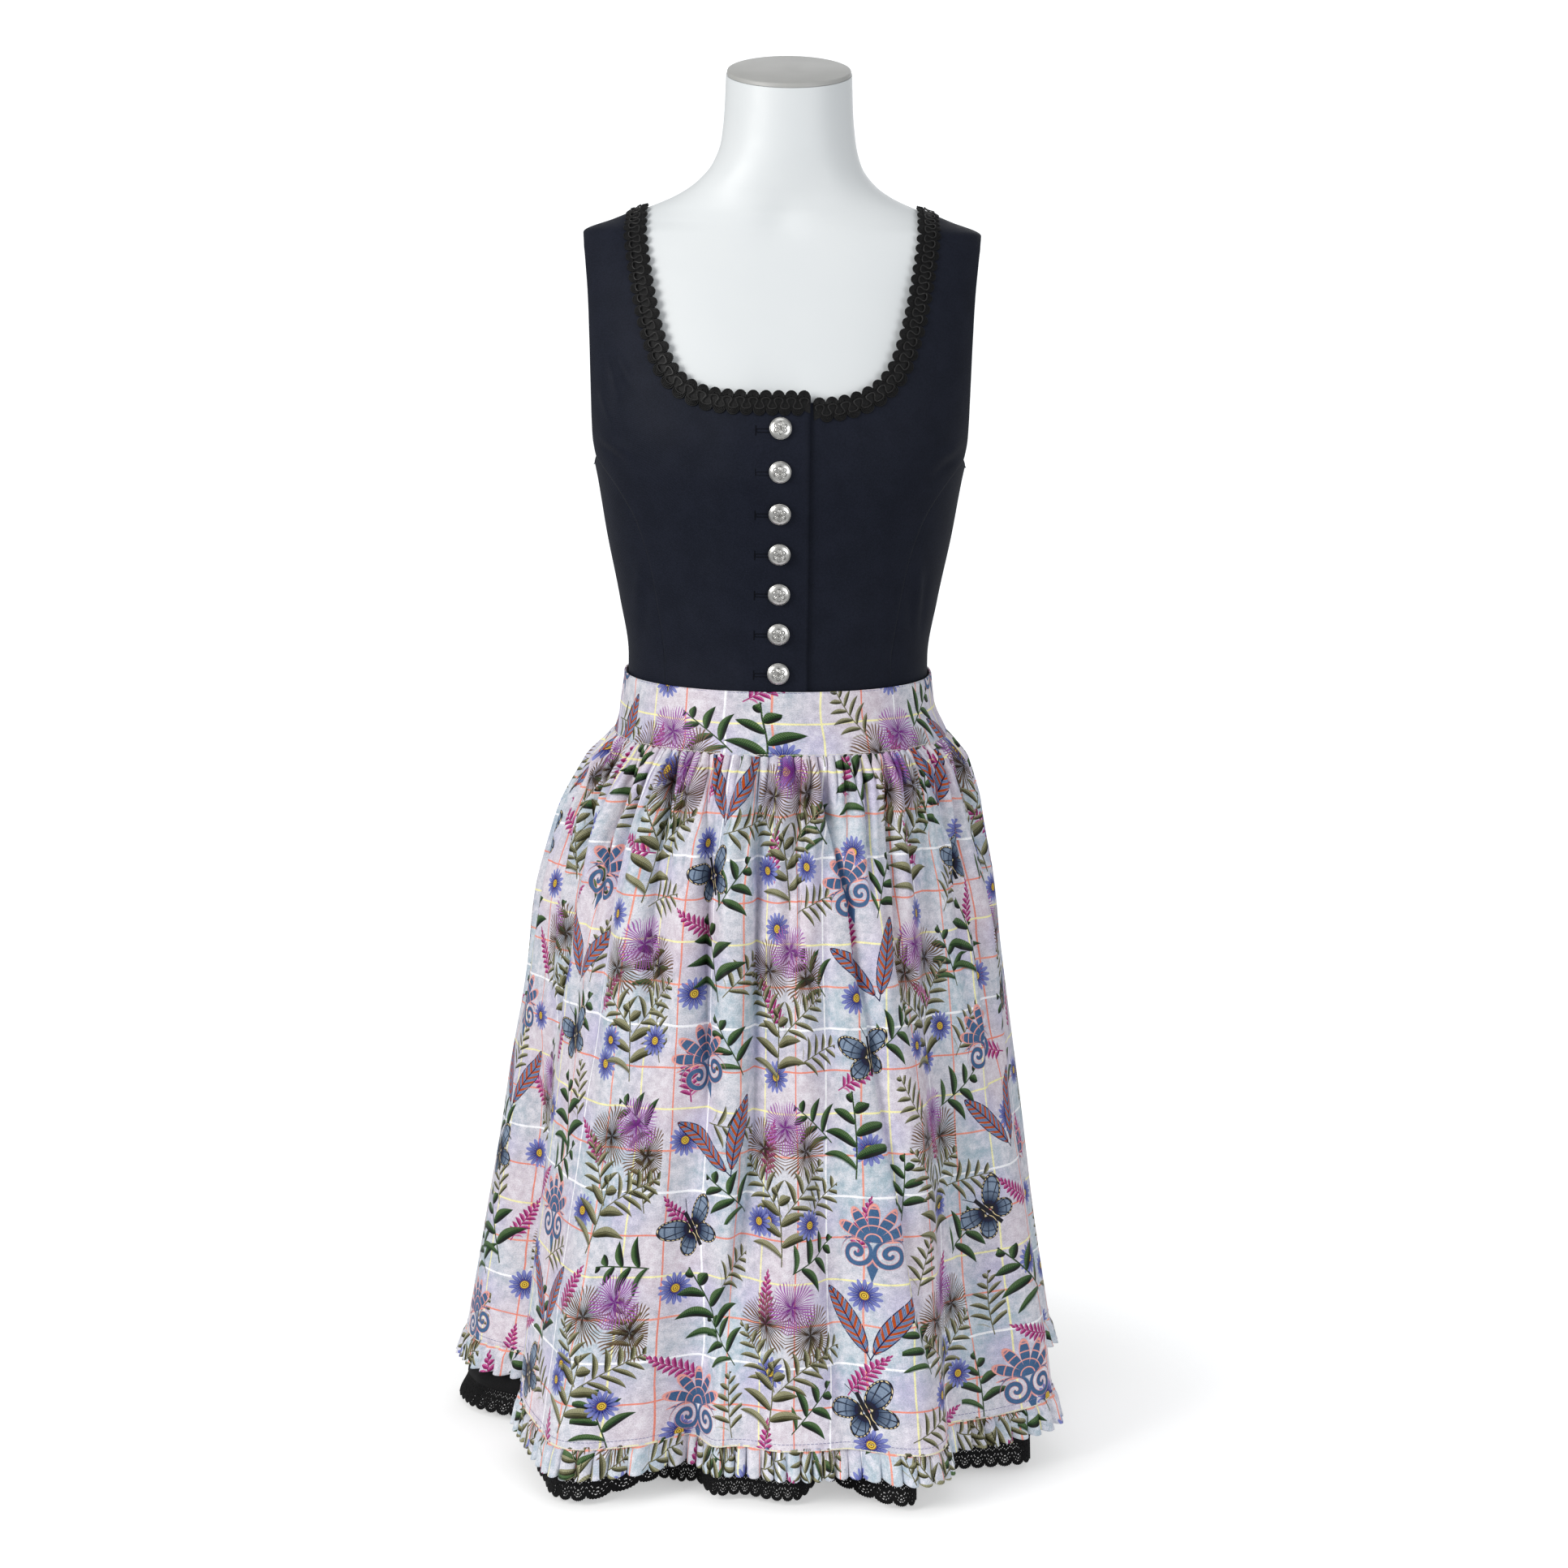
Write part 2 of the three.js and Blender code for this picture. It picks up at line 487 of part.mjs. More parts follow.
// The braid's surface. u runs across it from the neck opening, v along the neckline.
function neckBraid(name, side, startX, extraLift) {
  const path = necklinePath(side, startX);
  const length = path.at(-1).length;
  const onPath = (run) => {
    const i = Math.max(1, path.findIndex((spot) => spot.length >= run - 1e-6));
    const [a, b] = [path[i - 1], path[i]];
    const t = (run - a.length) / (b.length - a.length);
    return { face: b.face, x: mix(a.x, b.x, t), z: mix(a.z, b.z, t) };
  };
  const place = (u, v) => {
    const run = THREE.MathUtils.clamp(v, 0, 1) * length;
    const here = onPath(run);
    const before = onPath(Math.max(0, run - 6));
    const after = onPath(Math.min(length, run + 6));
    const crest = smooth(here.z, 922, SHOULDER_NECK_Z);
    const along = new THREE.Vector2(after.x - before.x, after.z - before.z);
    const outward = here.face < 0 ? new THREE.Vector2(along.y, -along.x) : new THREE.Vector2(-along.y, along.x);
    outward.normalize().lerp(new THREE.Vector2(46, -19).normalize(), crest).normalize();
    const share = u * (BRAID.width + BRAID.past) - BRAID.past;
    return { face: here.face, x: here.x + outward.x * share, z: here.z + outward.y * share };
  };
  const surface = (u, v) => {
    const { face, x, z } = place(u, v);
    return skin(face, side * x, z);
  };
  const half = Math.round(length / BRAID.pitch);
  const point = (u, v, lift) => {
    const scallop = (BRAID.scallop / BRAID.width) * Math.cos(2 * Math.PI * half * v);
    const edge = u < 0.5 ? u - scallop : u + scallop;
    const at = surface(edge, v);
    return lifted((a, b) => surface(edge + (a - u), b), u, v, lift + extraLift(at.x));
  };
  const grid = Array.from({ length: 2 * half + 1 }, (_, i) => ({ v: i / (2 * half), columns: 1 }));
  return clothWall(name, blackTrim, grid, point, CLOTH + BRAID.lift, BRAID.thickness);
}

// ---- dress skirt ---------------------------------------------------------------------------

const SKIRT_INSET = (z) => mix(5, 7.5, smooth(-z, -560, -500));

// How far the dress skirt's inner layer lies from the apron's envelope.
function skirtReach(angle, z) {
  const gather = Math.cos(radians(angle * 2 * BACK_GATHERS)) * smooth(Math.abs(angle), 90, 108);
  const fade = smooth(-z, -571, -545) * (1 - smooth(-z, -480, -300));
  return folded(angle, z) - total(SKIRT_RECESSES, angle) * growth(z) - SKIRT_INSET(z) + 1.6 * gather * fade;
}

const skirtRows = [WAIST_SEAM_Z - SEAM, 543, 485, 395, 275, 145, SKIRT_HEM_Z];
const halves = [
  { name: 'front', centre: 0, columns: 60 }, { name: 'back', centre: 180, columns: 2 * BACK_GATHERS },
];

function dressSkirt() {
  return halves.flatMap(({ name, centre, columns }) => {
    const reachAngle = 90 - SEAM / 3;
    const hanging = (heights) => (u, v, lift) => {
      const angle = centre + mix(-reachAngle, reachAngle, u);
      const wrapped = angle > 180 ? angle - 360 : angle;
      const place = v * (heights.length - 1);
      const i = Math.min(heights.length - 2, Math.floor(place));
      const z = mix(heights[i], heights[i + 1], place - i);
      const flare = total(LACE_FLARES, wrapped) * (1 - smooth(z, LACE_HEM_Z, SKIRT_HEM_Z));
      return skirtPoint(wrapped, z, skirtReach(wrapped, z) + flare + lift);
    };
    const grid = (heights) => heights.map((_, i) => ({ v: i / (heights.length - 1), columns }));
    const laceRows = [SKIRT_HEM_Z - SEAM, LACE_HEM_Z];
    return [
      clothWall(`skirt_${name}`, blackCotton, grid(skirtRows), hanging(skirtRows), 0, SKIRT_CLOTH),
      clothWall(`skirt_lace_${name}`, blackTrim, grid(laceRows), hanging(laceRows), 0, SKIRT_CLOTH),
    ];
  });
}

// ---- apron ---------------------------------------------------------------------------------

const bandDrop = (angle) => BAND.frontDrop * Math.cos(radians(angle));
const bandBottomZ = (angle) => BAND.bottomZ - bandDrop(angle);
const bandTopZ = (angle) => BAND.topZ - bandDrop(angle);
const ruffleHemZ = (angle) => 24 + 15 * smooth(Math.abs(angle), 42, 72);
const APRON_LIFT = -0.5;          // the apron's inner layer lies inside its envelope by this
const apronAngle = (u) => mix(-APRON_REACH, APRON_REACH, u);

// Folds of the apron between its fine gathers and the large folds of the hem.
const middleFolds = (angle, z) => (
  (2.4 * Math.cos(radians(angle * 40)) + 1.6 * Math.cos(radians(angle * 23 + 50)))
  * smooth(-z, -535, -470) * (1 - smooth(-z, -430, -200)));

function apronSkirt() {
  const gathers = (u, v) => 2 * Math.cos(2 * Math.PI * GATHERS * u) * mix(0.45, 1, smooth(v, 0, 0.03))
    * (1 - smooth(v, 0.05, 0.14));
  const point = (u, v, lift) => {
    const angle = apronAngle(u);
    const z = mix(bandBottomZ(angle) - SEAM, ruffleHemZ(angle) + RUFFLE_HEIGHT, v);
    return skirtPoint(angle, z, folded(angle, z) + middleFolds(angle, z) + gathers(u, v) + lift);
  };
  const fine = [0, 0.03, 0.07, 0.12].map((v) => ({ v, columns: 2 * GATHERS }));
  const coarse = [0.17, 0.25, 0.36, 0.5, 0.66, 0.83, 1].map((v) => ({ v, columns: GATHERS }));
  return clothWall('apron_skirt', printedSatin, fine.concat(coarse), point, APRON_LIFT, SKIRT_CLOTH);
}

function apronRuffle() {
  const point = (u, v, lift) => {
    const angle = apronAngle(u);
    const z = mix(ruffleHemZ(angle) + RUFFLE_HEIGHT - 2 * SEAM, ruffleHemZ(angle), v);
    const wave = mix(0.5, 3, v) * Math.cos(2 * Math.PI * RUFFLE_WAVES * u);
    return skirtPoint(angle, z, folded(angle, z) + wave + lift);
  };
  const grid = [0, 1].map((v) => ({ v, columns: 2 * RUFFLE_WAVES }));
  return clothWall('apron_ruffle', printedSatin, grid, point, APRON_LIFT, SKIRT_CLOTH);
}

function apronBand() {
  const point = (u, v, lift) => {
    const angle = apronAngle(u);
    return skirtPoint(angle, mix(bandBottomZ(angle), bandTopZ(angle), v), lift);
  };
  const grid = [0, 0.5, 1].map((v) => ({ v, columns: 36 }));
  return clothWall('apron_band', printedSatin, grid, point, 0, BAND.thickness);
}

// The ties run from the band's ends to a knot at the centre back, and two tails hang from it.
function apronTies() {
  const sides = [{ name: 'right', side: -1 }, { name: 'left', side: 1 }];
  const ties = sides.map(({ name, side }) => {
    const point = (u, v, lift) => {
      const angle = mix(APRON_REACH + 0.2, 177, u);
      const halfHeight = mix(0.5 * (BAND.topZ - BAND.bottomZ), 13, smooth(u, 0, 1));
      const middle = 0.5 * (bandBottomZ(angle) + bandTopZ(angle));
      return skirtPoint(side * angle, mix(middle - halfHeight, middle + halfHeight, v), lift);
    };
    const grid = [0, 1].map((v) => ({ v, columns: 12 }));
    return clothWall(`apron_tie_${name}`, printedSatin, grid, point, 0, SKIRT_CLOTH);
  });
  const tails = sides.map(({ name, side }) => {
    const heights = [KNOT.z - KNOT.halfHeight - 2 * SEAM, 500, 440, 360, 280, TAIL.bottomZ];
    const point = (u, v, lift) => {
      const place = v * (heights.length - 1);
      const i = Math.min(heights.length - 2, Math.floor(place));
      const z = mix(heights[i], heights[i + 1], place - i);
      const perDegree = (skirtAt('back', z) * Math.PI) / 180;
      const angle = 180 - (1.5 + mix(0, 8, v) + (u * mix(0.55, 1, smooth(v, 0, 0.3)) * TAIL.width)) / perDegree;
      return skirtPoint(side * angle, z, folded(side * angle, z) + lift);
    };
    const grid = heights.map((_, i) => ({ v: i / (heights.length - 1), columns: 3 }));
    return clothWall(`apron_tail_${name}`, printedSatin, grid, point, 0, SKIRT_CLOTH);
  });
  const knotBack = skirtPoint(180, KNOT.z - 0.58 * KNOT.halfHeight, SKIRT_CLOTH + SEAM).y;
  const knotRings = [{ depth: 0, size: 0.7 }, { depth: 0.25, size: 1 }, { depth: 0.7, size: 0.9 },
    { depth: 1, size: 0.5 }].map(({ depth, size }) => Array.from({ length: 12 }, (_, i) => {
    const turn = (i / 12) * 2 * Math.PI;
    return new THREE.Vector3(KNOT.halfWidth * size * Math.sin(turn), knotBack + KNOT.depth * depth,
      KNOT.z + KNOT.halfHeight * size * Math.cos(turn));
  }));
  return [...ties, ...tails, solidOfRings('apron_knot', printedSatin, knotRings)];
}

const group = new THREE.Group();
const bodicePanels = bodice();
group.add(...form(), ...stand(), ...bodicePanels, ...buttons(bodicePanels[0]));
group.add(neckBraid('neck_braid_right', -1, -OVERLAP_EDGE_X, overlapLift));
group.add(neckBraid('neck_braid_left', 1, OVERLAP_EDGE_X + 2, flat));
group.add(...dressSkirt(), apronBand(), apronSkirt(), apronRuffle(), ...apronTies());

export default group;
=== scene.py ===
"""A sleeveless dirndl with its apron, worn by a limbless dress form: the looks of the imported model."""
import math

import bmesh
import bpy
import numpy as np
from mathutils import Matrix, Vector


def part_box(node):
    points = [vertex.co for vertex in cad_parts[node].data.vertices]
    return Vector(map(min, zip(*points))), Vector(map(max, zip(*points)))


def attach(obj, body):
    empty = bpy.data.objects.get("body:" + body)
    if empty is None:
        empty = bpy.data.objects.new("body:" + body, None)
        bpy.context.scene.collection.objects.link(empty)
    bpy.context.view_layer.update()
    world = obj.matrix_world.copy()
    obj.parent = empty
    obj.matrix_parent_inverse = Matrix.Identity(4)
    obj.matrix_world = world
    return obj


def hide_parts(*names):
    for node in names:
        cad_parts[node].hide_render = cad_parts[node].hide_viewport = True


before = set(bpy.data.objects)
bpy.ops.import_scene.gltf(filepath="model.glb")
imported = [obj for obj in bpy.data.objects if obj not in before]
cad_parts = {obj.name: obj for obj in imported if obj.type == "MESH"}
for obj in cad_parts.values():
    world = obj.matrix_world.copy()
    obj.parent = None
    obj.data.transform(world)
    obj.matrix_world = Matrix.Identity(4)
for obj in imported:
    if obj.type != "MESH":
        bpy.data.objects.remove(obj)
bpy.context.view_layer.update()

# ---- Camera, floor and light ----------------------------------------------------------------
# A long lens at shoulder height, 2.7 m in front and looking a little down. The floor is a pale
# round sheet that fades into a white surround, and the light comes from large soft panels.

LENS, CAMERA_PLACE, CAMERA_TILT, CAMERA_ROLL = 81.34, (0.0057, -2.725, 0.964), 80.4, 0.6
FLOOR_RADIUS, FADE_FROM, FADE_TO = 1.6, 0.26, 0.56
PANELS_AIM = Vector((0, 0, 0.6))
scene = bpy.context.scene
scene.view_settings.view_transform = "Standard"
camera = bpy.data.objects.new("camera", bpy.data.cameras.new("camera"))
camera.data.lens = LENS
camera.matrix_world = (Matrix.Translation(CAMERA_PLACE)
                       @ Matrix.Rotation(math.radians(CAMERA_TILT), 4, "X")
                       @ Matrix.Rotation(math.radians(CAMERA_ROLL), 4, "Z"))
scene.collection.objects.link(camera)
scene.camera = camera


def node(tree, kind, inputs=None, **settings):
    """Adds a shader node. inputs holds values, or the sockets that feed it."""
    made = tree.nodes.new(kind)
    for key, value in settings.items():
        setattr(made, key, value)
    for key, value in (inputs or {}).items():
        if isinstance(value, bpy.types.NodeSocket):
            tree.links.new(value, made.inputs[key])
        else:
            made.inputs[key].default_value = value
    return made


def calc(tree, operation, *values, clamp=False):
    """The result of one Math node."""
    made = node(tree, "ShaderNodeMath", dict(enumerate(values)), operation=operation, use_clamp=clamp)
    return made.outputs[0]


def ramp(tree, value, low, high, to_low=0.0, to_high=1.0):
    """Eases a value from one range to another."""
    ranges = {"Value": value, "From Min": low, "From Max": high, "To Min": to_low, "To Max": to_high}
    return node(tree, "ShaderNodeMapRange", ranges, interpolation_type="SMOOTHSTEP").outputs[0]


def blend(tree, factor, below, above):
    """Lays one colour over another."""
    mixer = node(tree, "ShaderNodeMix", {0: factor}, data_type="RGBA")
    for index, value in ((6, below), (7, above)):
        if isinstance(value, bpy.types.NodeSocket):
            tree.links.new(value, mixer.inputs[index])
        else:
            mixer.inputs[index].default_value = value
    return mixer.outputs[2]


floor_mesh = bpy.data.meshes.new("floor")
bm = bmesh.new()
bmesh.ops.create_circle(bm, cap_ends=True, radius=FLOOR_RADIUS, segments=96)
bm.to_mesh(floor_mesh)
bm.free()
floor = bpy.data.objects.new("floor", floor_mesh)
scene.collection.objects.link(floor)
floor_paint = bpy.data.materials.new("floor_paint")
floor_paint.use_nodes = True
tree = floor_paint.node_tree
tree.nodes.clear()
here = node(tree, "ShaderNodeTexCoord").outputs["Object"]
away = node(tree, "ShaderNodeVectorMath", {0: here}, operation="LENGTH")
seen = node(tree, "ShaderNodeLightPath").outputs["Is Camera Ray"]
white = node(tree, "ShaderNodeBsdfPrincipled", {
    "Base Color": (0.86, 0.86, 0.86, 1), "Roughness": 0.9,
    "Emission Color": (1, 1, 1, 1), "Emission Strength": ramp(tree, seen, 0, 1, 0.25, 0.44),
})
clear = node(tree, "ShaderNodeBsdfTransparent")
faded = node(tree, "ShaderNodeMixShader", {0: ramp(tree, away.outputs["Value"], FADE_FROM, FADE_TO)})
tree.links.new(white.outputs[0], faded.inputs[1])
tree.links.new(clear.outputs[0], faded.inputs[2])
node(tree, "ShaderNodeOutputMaterial", {"Surface": faded.outputs[0]})
floor_mesh.materials.append(floor_paint)

surround = bpy.data.worlds.new("surround")
surround.use_nodes = True
tree = surround.node_tree
tree.nodes.clear()
seen = node(tree, "ShaderNodeLightPath").outputs["Is Camera Ray"]
glow = node(tree, "ShaderNodeBackground", {"Color": (0.97, 0.985, 1.0, 1),
                                           "Strength": ramp(tree, seen, 0, 1, 0.4, 1.2)})
node(tree, "ShaderNodeOutputWorld", {"Surface": glow.outputs[0]})
scene.world = surround

panels = [
    # name, place, size in metres, watts and colour
    ("panel_left", (-2.5, -2.0, 1.7), 1.7, 70, (1.0, 0.99, 0.97)),
    ("panel_right", (2.2, -2.6, 1.0), 2.0, 32, (0.97, 0.985, 1.0)),
    ("panel_top", (-0.2, -0.6, 2.9), 1.6, 5, (1.0, 1.0, 1.0)),
    ("panel_back", (0.6, 2.7, 1.7), 2.0, 14, (1.0, 1.0, 1.0)),
]
for name, place, size, watts, colour in panels:
    lamp = bpy.data.lights.new(name, "AREA")
    lamp.size, lamp.energy, lamp.color = size, watts, colour
    holder = bpy.data.objects.new(name, lamp)
    holder.location = place
    holder.rotation_euler = (PANELS_AIM - Vector(place)).to_track_quat("-Z", "Y").to_euler()
    scene.collection.objects.link(holder)

# ---- Dress form -------------------------------------------------------------------------------
# A hollow shell of white gloss plastic with a neck but no head or limbs, whose neck is closed
# by a grey cap. The dress hangs on its shoulders and waist.

MM = 0.001  # the tables are in millimetres
# z, half width, front, back, and the exponent of the section's superellipse
TORSO = [
    (400, 142, 104, 112, 2.3), (450, 145, 106, 114, 2.3), (500, 137, 101, 106, 2.25),
    (545, 121, 95, 92, 2.2), (572, 114.8, 92, 85, 2.2), (605, 114.6, 92.5, 84, 2.2),
    (650, 121.5, 97, 88, 2.25), (700, 131.5, 106, 95, 2.3), (742, 138.5, 115.5, 100, 2.4),
    (757, 141.5, 117.5, 102, 2.45), (772, 144.2, 118, 103, 2.5), (810, 148.4, 111, 104, 2.6),
    (850, 150.4, 95, 103, 2.7), (890, 151.8, 74, 97, 2.6), (915, 152.5, 58, 82, 2.3),
    (927, 150, 51, 70, 2.0), (936.5, 127, 47, 63, 1.75), (946, 104, 45, 59, 1.65),
    (955, 84, 45, 57, 1.75), (966, 68, 45, 55, 1.9), (980, 56.5, 45, 53, 2), (996, 51, 45, 52, 2),
    (1020, 48.6, 45, 51, 2), (1046, 47.6, 45, 50, 2),
]
HALF_WIDTH, FRONT, BACK, POWER = 1, 2, 3, 4  # the table's columns
FORM_BOTTOM, NECK_TOP = 400, 1046
SHELL_INSET, SHOULDER_INSET = 2.4, 1.7  # how far the shell lies under the dress
THROAT_DEPTH, CHEST_DEPTH, NECK_SHIFT, NECK_SLANT, ARM_HOLLOW = 4.2, 3.5, 4, 0.25, 0.06
SEAM = 0.3  # the gap between pieces that meet


def curve(rows, column, at):
    """A smooth line through a table whose first column rises, that never overshoots its rows."""
    knots = np.array([row[0] for row in rows], float)
    values = np.array([row[column] for row in rows], float)
    slope = np.diff(values) / np.diff(knots)
    before, after = slope[:-1], slope[1:]
    same_way = before * after > 0
    inner = np.where(same_way, 2 * before * after / np.where(same_way, before + after, 1), 0)
    tangent = np.concatenate((slope[:1], inner, slope[-1:]))
    at = np.clip(at, knots[0], knots[-1])
    i = np.clip(np.searchsorted(knots, at) - 1, 0, len(slope) - 1)
    step = np.diff(knots)[i]
    t = (at - knots[i]) / step
    rise = slope[i] * step
    a = tangent[i] * step - rise
    b = rise - tangent[i + 1] * step
    return values[i] + rise * t + t * (1 - t) * (a * (1 - t) + b * t)


def smooth(value, low, high):
    """Eases from 0 at low to 1 at high."""
    t = np.clip((value - low) / (high - low), 0, 1)
    return t * t * (3 - 2 * t)


def mix(a, b, t):
    return a + (b - a) * t


def skin(face, x, z):
    """Points of the torso at x and z, on the front (face -1) or the back (face 1)."""
    power = curve(TORSO, POWER, z)
    share = np.minimum(1, np.abs(x) / curve(TORSO, HALF_WIDTH, z))
    depth = np.where(face < 0, curve(TORSO, FRONT, z), curve(TORSO, BACK, z))
    return np.stack((x, face * depth * (1 - share**power) ** (1 / power), z + 0 * x), -1)


def skin_round(angle, z, inset=0.0):
    """Points of the torso at an angle round from the centre front, in degrees."""
    turn = 2 / curve(TORSO, POWER, z)
    s, c = np.sin(np.radians(angle)), np.cos(np.radians(angle))
    depth = np.where(c > 0, curve(TORSO, FRONT, z), curve(TORSO, BACK, z)) - inset
    half_width = curve(TORSO, HALF_WIDTH, z) - inset
    return np.stack((np.sign(s) * half_width * np.abs(s) ** turn, -np.sign(c) * depth * np.abs(c) ** turn,
                     z + 0 * angle), -1)


def sheet(name, columns, rows, surface, material, closed=False, thick=0.0, holes=None):
    """A sheet of quads from surface(u, v), with its UV map, riding on the part's one body.
    closed joins its sides and fills its ends, and thick is the wall it gets inwards, in mm."""
    bm = bmesh.new()
    bm.loops.layers.uv.new("UVMap")
    bmesh.ops.create_grid(bm, x_segments=columns, y_segments=rows, size=0.5, calc_uvs=True)
    if holes:
        cut = []
        for quad in bm.faces:
            centre = quad.calc_center_median()
            if holes(int((centre.x + 0.5) * columns), int((centre.y + 0.5) * rows)):
                cut.append(quad)
        bmesh.ops.delete(bm, geom=cut, context="FACES")
    spots = np.array([vert.co[:2] for vert in bm.verts]) + 0.5
    for vert, point in zip(bm.verts, surface(spots[:, 0], spots[:, 1]) * MM):
        vert.co = point
    if closed:
        bmesh.ops.remove_doubles(bm, verts=bm.verts, dist=1e-6)
        bmesh.ops.holes_fill(bm, edges=[edge for edge in bm.edges if edge.is_boundary], sides=0)
        bmesh.ops.recalc_face_normals(bm, faces=bm.faces)
    bm.normal_update()
    facing = sum(quad.normal.xy.dot(quad.calc_center_median().xy) * quad.calc_area() for quad in bm.faces)
    if thick and facing < 0:
        bmesh.ops.reverse_faces(bm, faces=bm.faces)
    for quad in bm.faces:
        quad.smooth = True
    return piece(name, bm, material, thick)


def piece(name, bm, material, thick=0.0, sharp=50):
    """Makes a finished object of a bmesh."""
    mesh = bpy.data.meshes.new(name)
    bm.to_mesh(mesh)
    bm.free()
    mesh.set_sharp_from_angle(angle=math.radians(sharp))
    mesh.materials.append(material)
    made = bpy.data.objects.new(name, mesh)
    scene.collection.objects.link(made)
    if thick:
        wall = made.modifiers.new("wall", "SOLIDIFY")
        wall.thickness, wall.offset = thick * MM, -1
    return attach(made, "root")


def finish(name, colour, roughness, **sockets):
    """A material with one Principled BSDF. colour is linear; sockets are named with underscores."""
    made = bpy.data.materials.new(name)
    made.use_nodes = True
    shader = made.node_tree.nodes["Principled BSDF"]
    shader.inputs["Base Color"].default_value = (*colour, 1)
    shader.inputs["Roughness"].default_value = roughness
    for key, value in sockets.items():
        shader.inputs[key.replace("_", " ")].default_value = value
    return made, made.node_tree, shader


def colour_by(tree, shader, mask, dark, light):
    """Colours a shader from dark to light by a mask. Both colours are linear."""
    tree.links.new(blend(tree, mask, (*dark, 1), (*light, 1)), shader.inputs["Base Color"])


def bump(tree, shader, height, strength, distance):
    """Feeds a height to a shader through a Bump node. distance is in metres."""
    made = node(tree, "ShaderNodeBump", {"Height": height, "Strength": strength, "Distance": distance})
    tree.links.new(made.outputs[0], shader.inputs["Normal"])


def speckle(tree, scale, detail=3.0, vector=None, roughness=0.5):
    """A noise texture's value. Without a vector it reads Object coordinates, in metres."""
    place = vector or node(tree, "ShaderNodeTexCoord").outputs["Object"]
    return node(tree, "ShaderNodeTexNoise", {"Vector": place, "Scale": scale, "Detail": detail,
                                            "Roughness": roughness}).outputs["Fac"]


def form_surface(u, v):
    """The form's shell, hollowed at the throat, between the breasts and under the armholes."""
    z = np.interp(v, (0, 0.5, 0.85, 1), (FORM_BOTTOM, 900, 975, NECK_TOP))
    neck = smooth(z, 985, NECK_TOP)
    armhole = smooth(z, 745, 790) * (1 - smooth(z, 880, 915))
    shoulder = smooth(z, 905, 925) * (1 - smooth(z, 945, 960))
    inset = mix(SHELL_INSET, SHOULDER_INSET, shoulder) * (1 - smooth(z, 947, 995))
    points = skin_round(360 * u, z, inset)
    points[:, 0] *= 1 - ARM_HOLLOW * armhole
    front = points[:, 1] < 0
    throat = THROAT_DEPTH * np.exp(-(points[:, 0] / 15) ** 2 - ((z - 938) / 17) ** 2)
    chest = (CHEST_DEPTH * np.exp(-(points[:, 0] / 13) ** 2)
             * smooth(z, 770, 800) * (1 - smooth(z, 815, 850)))
    points[:, 1] += np.where(front, throat + chest, 0)
    points[:, 0] += NECK_SHIFT * smooth(z, 940, 1000)
    points[:, 2] += neck * NECK_SLANT * points[:, 1]
    return points


form_white, tree, shader = finish("form_white", (0.8, 0.83, 0.845), 0.44, Coat_Weight=0.04,
                                  Coat_Roughness=0.3)
colour_by(tree, shader, ramp(tree, speckle(tree, 9), 0.3, 0.7), (0.775, 0.805, 0.82), (0.8, 0.827, 0.838))
tree.links.new(ramp(tree, speckle(tree, 60), 0.3, 0.7, 0.4, 0.48), shader.inputs["Roughness"])
bump(tree, shader, speckle(tree, 700, 2), 0.05, 0.0001)
torso = sheet("torso", 96, 180, form_surface, form_white, closed=True)
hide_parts("form_torso")


# The cap's outline: share of the neck's width, and height in mm
CAP = [(0, 0), (0.985, 0), (0.985, 2.2), (0.978, 2.9), (0.96, 3.2), (0, 3.2)]


def cap_surface(u, v):
    ring = form_surface(u, 1 + 0 * u)
    centre = ring.mean(0)
    step = np.linspace(0, 1, len(CAP))
    grow, rise = (np.interp(v, step, column) for column in zip(*CAP))
    points = centre + (ring - centre) * grow[:, None]
    points[:, 2] += SEAM + rise
    return points


cap_grey, tree, shader = finish("cap_grey", (0.43, 0.43, 0.415), 0.42)
colour_by(tree, shader, ramp(tree, speckle(tree, 38, 5), 0.3, 0.7), (0.42, 0.42, 0.405), (0.46, 0.46, 0.445))
bump(tree, shader, speckle(tree, 1500, 2), 0.1, 0.0001)
neck_cap = sheet("neck_cap", 96, 5, cap_surface, cap_grey, closed=True)
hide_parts("form_neck_cap")

# ---- Stand ------------------------------------------------------------------------------------
# A round steel plate with a turned edge, and a steel tube screwed into it that carries the form.
# The skirt hides both from the side.

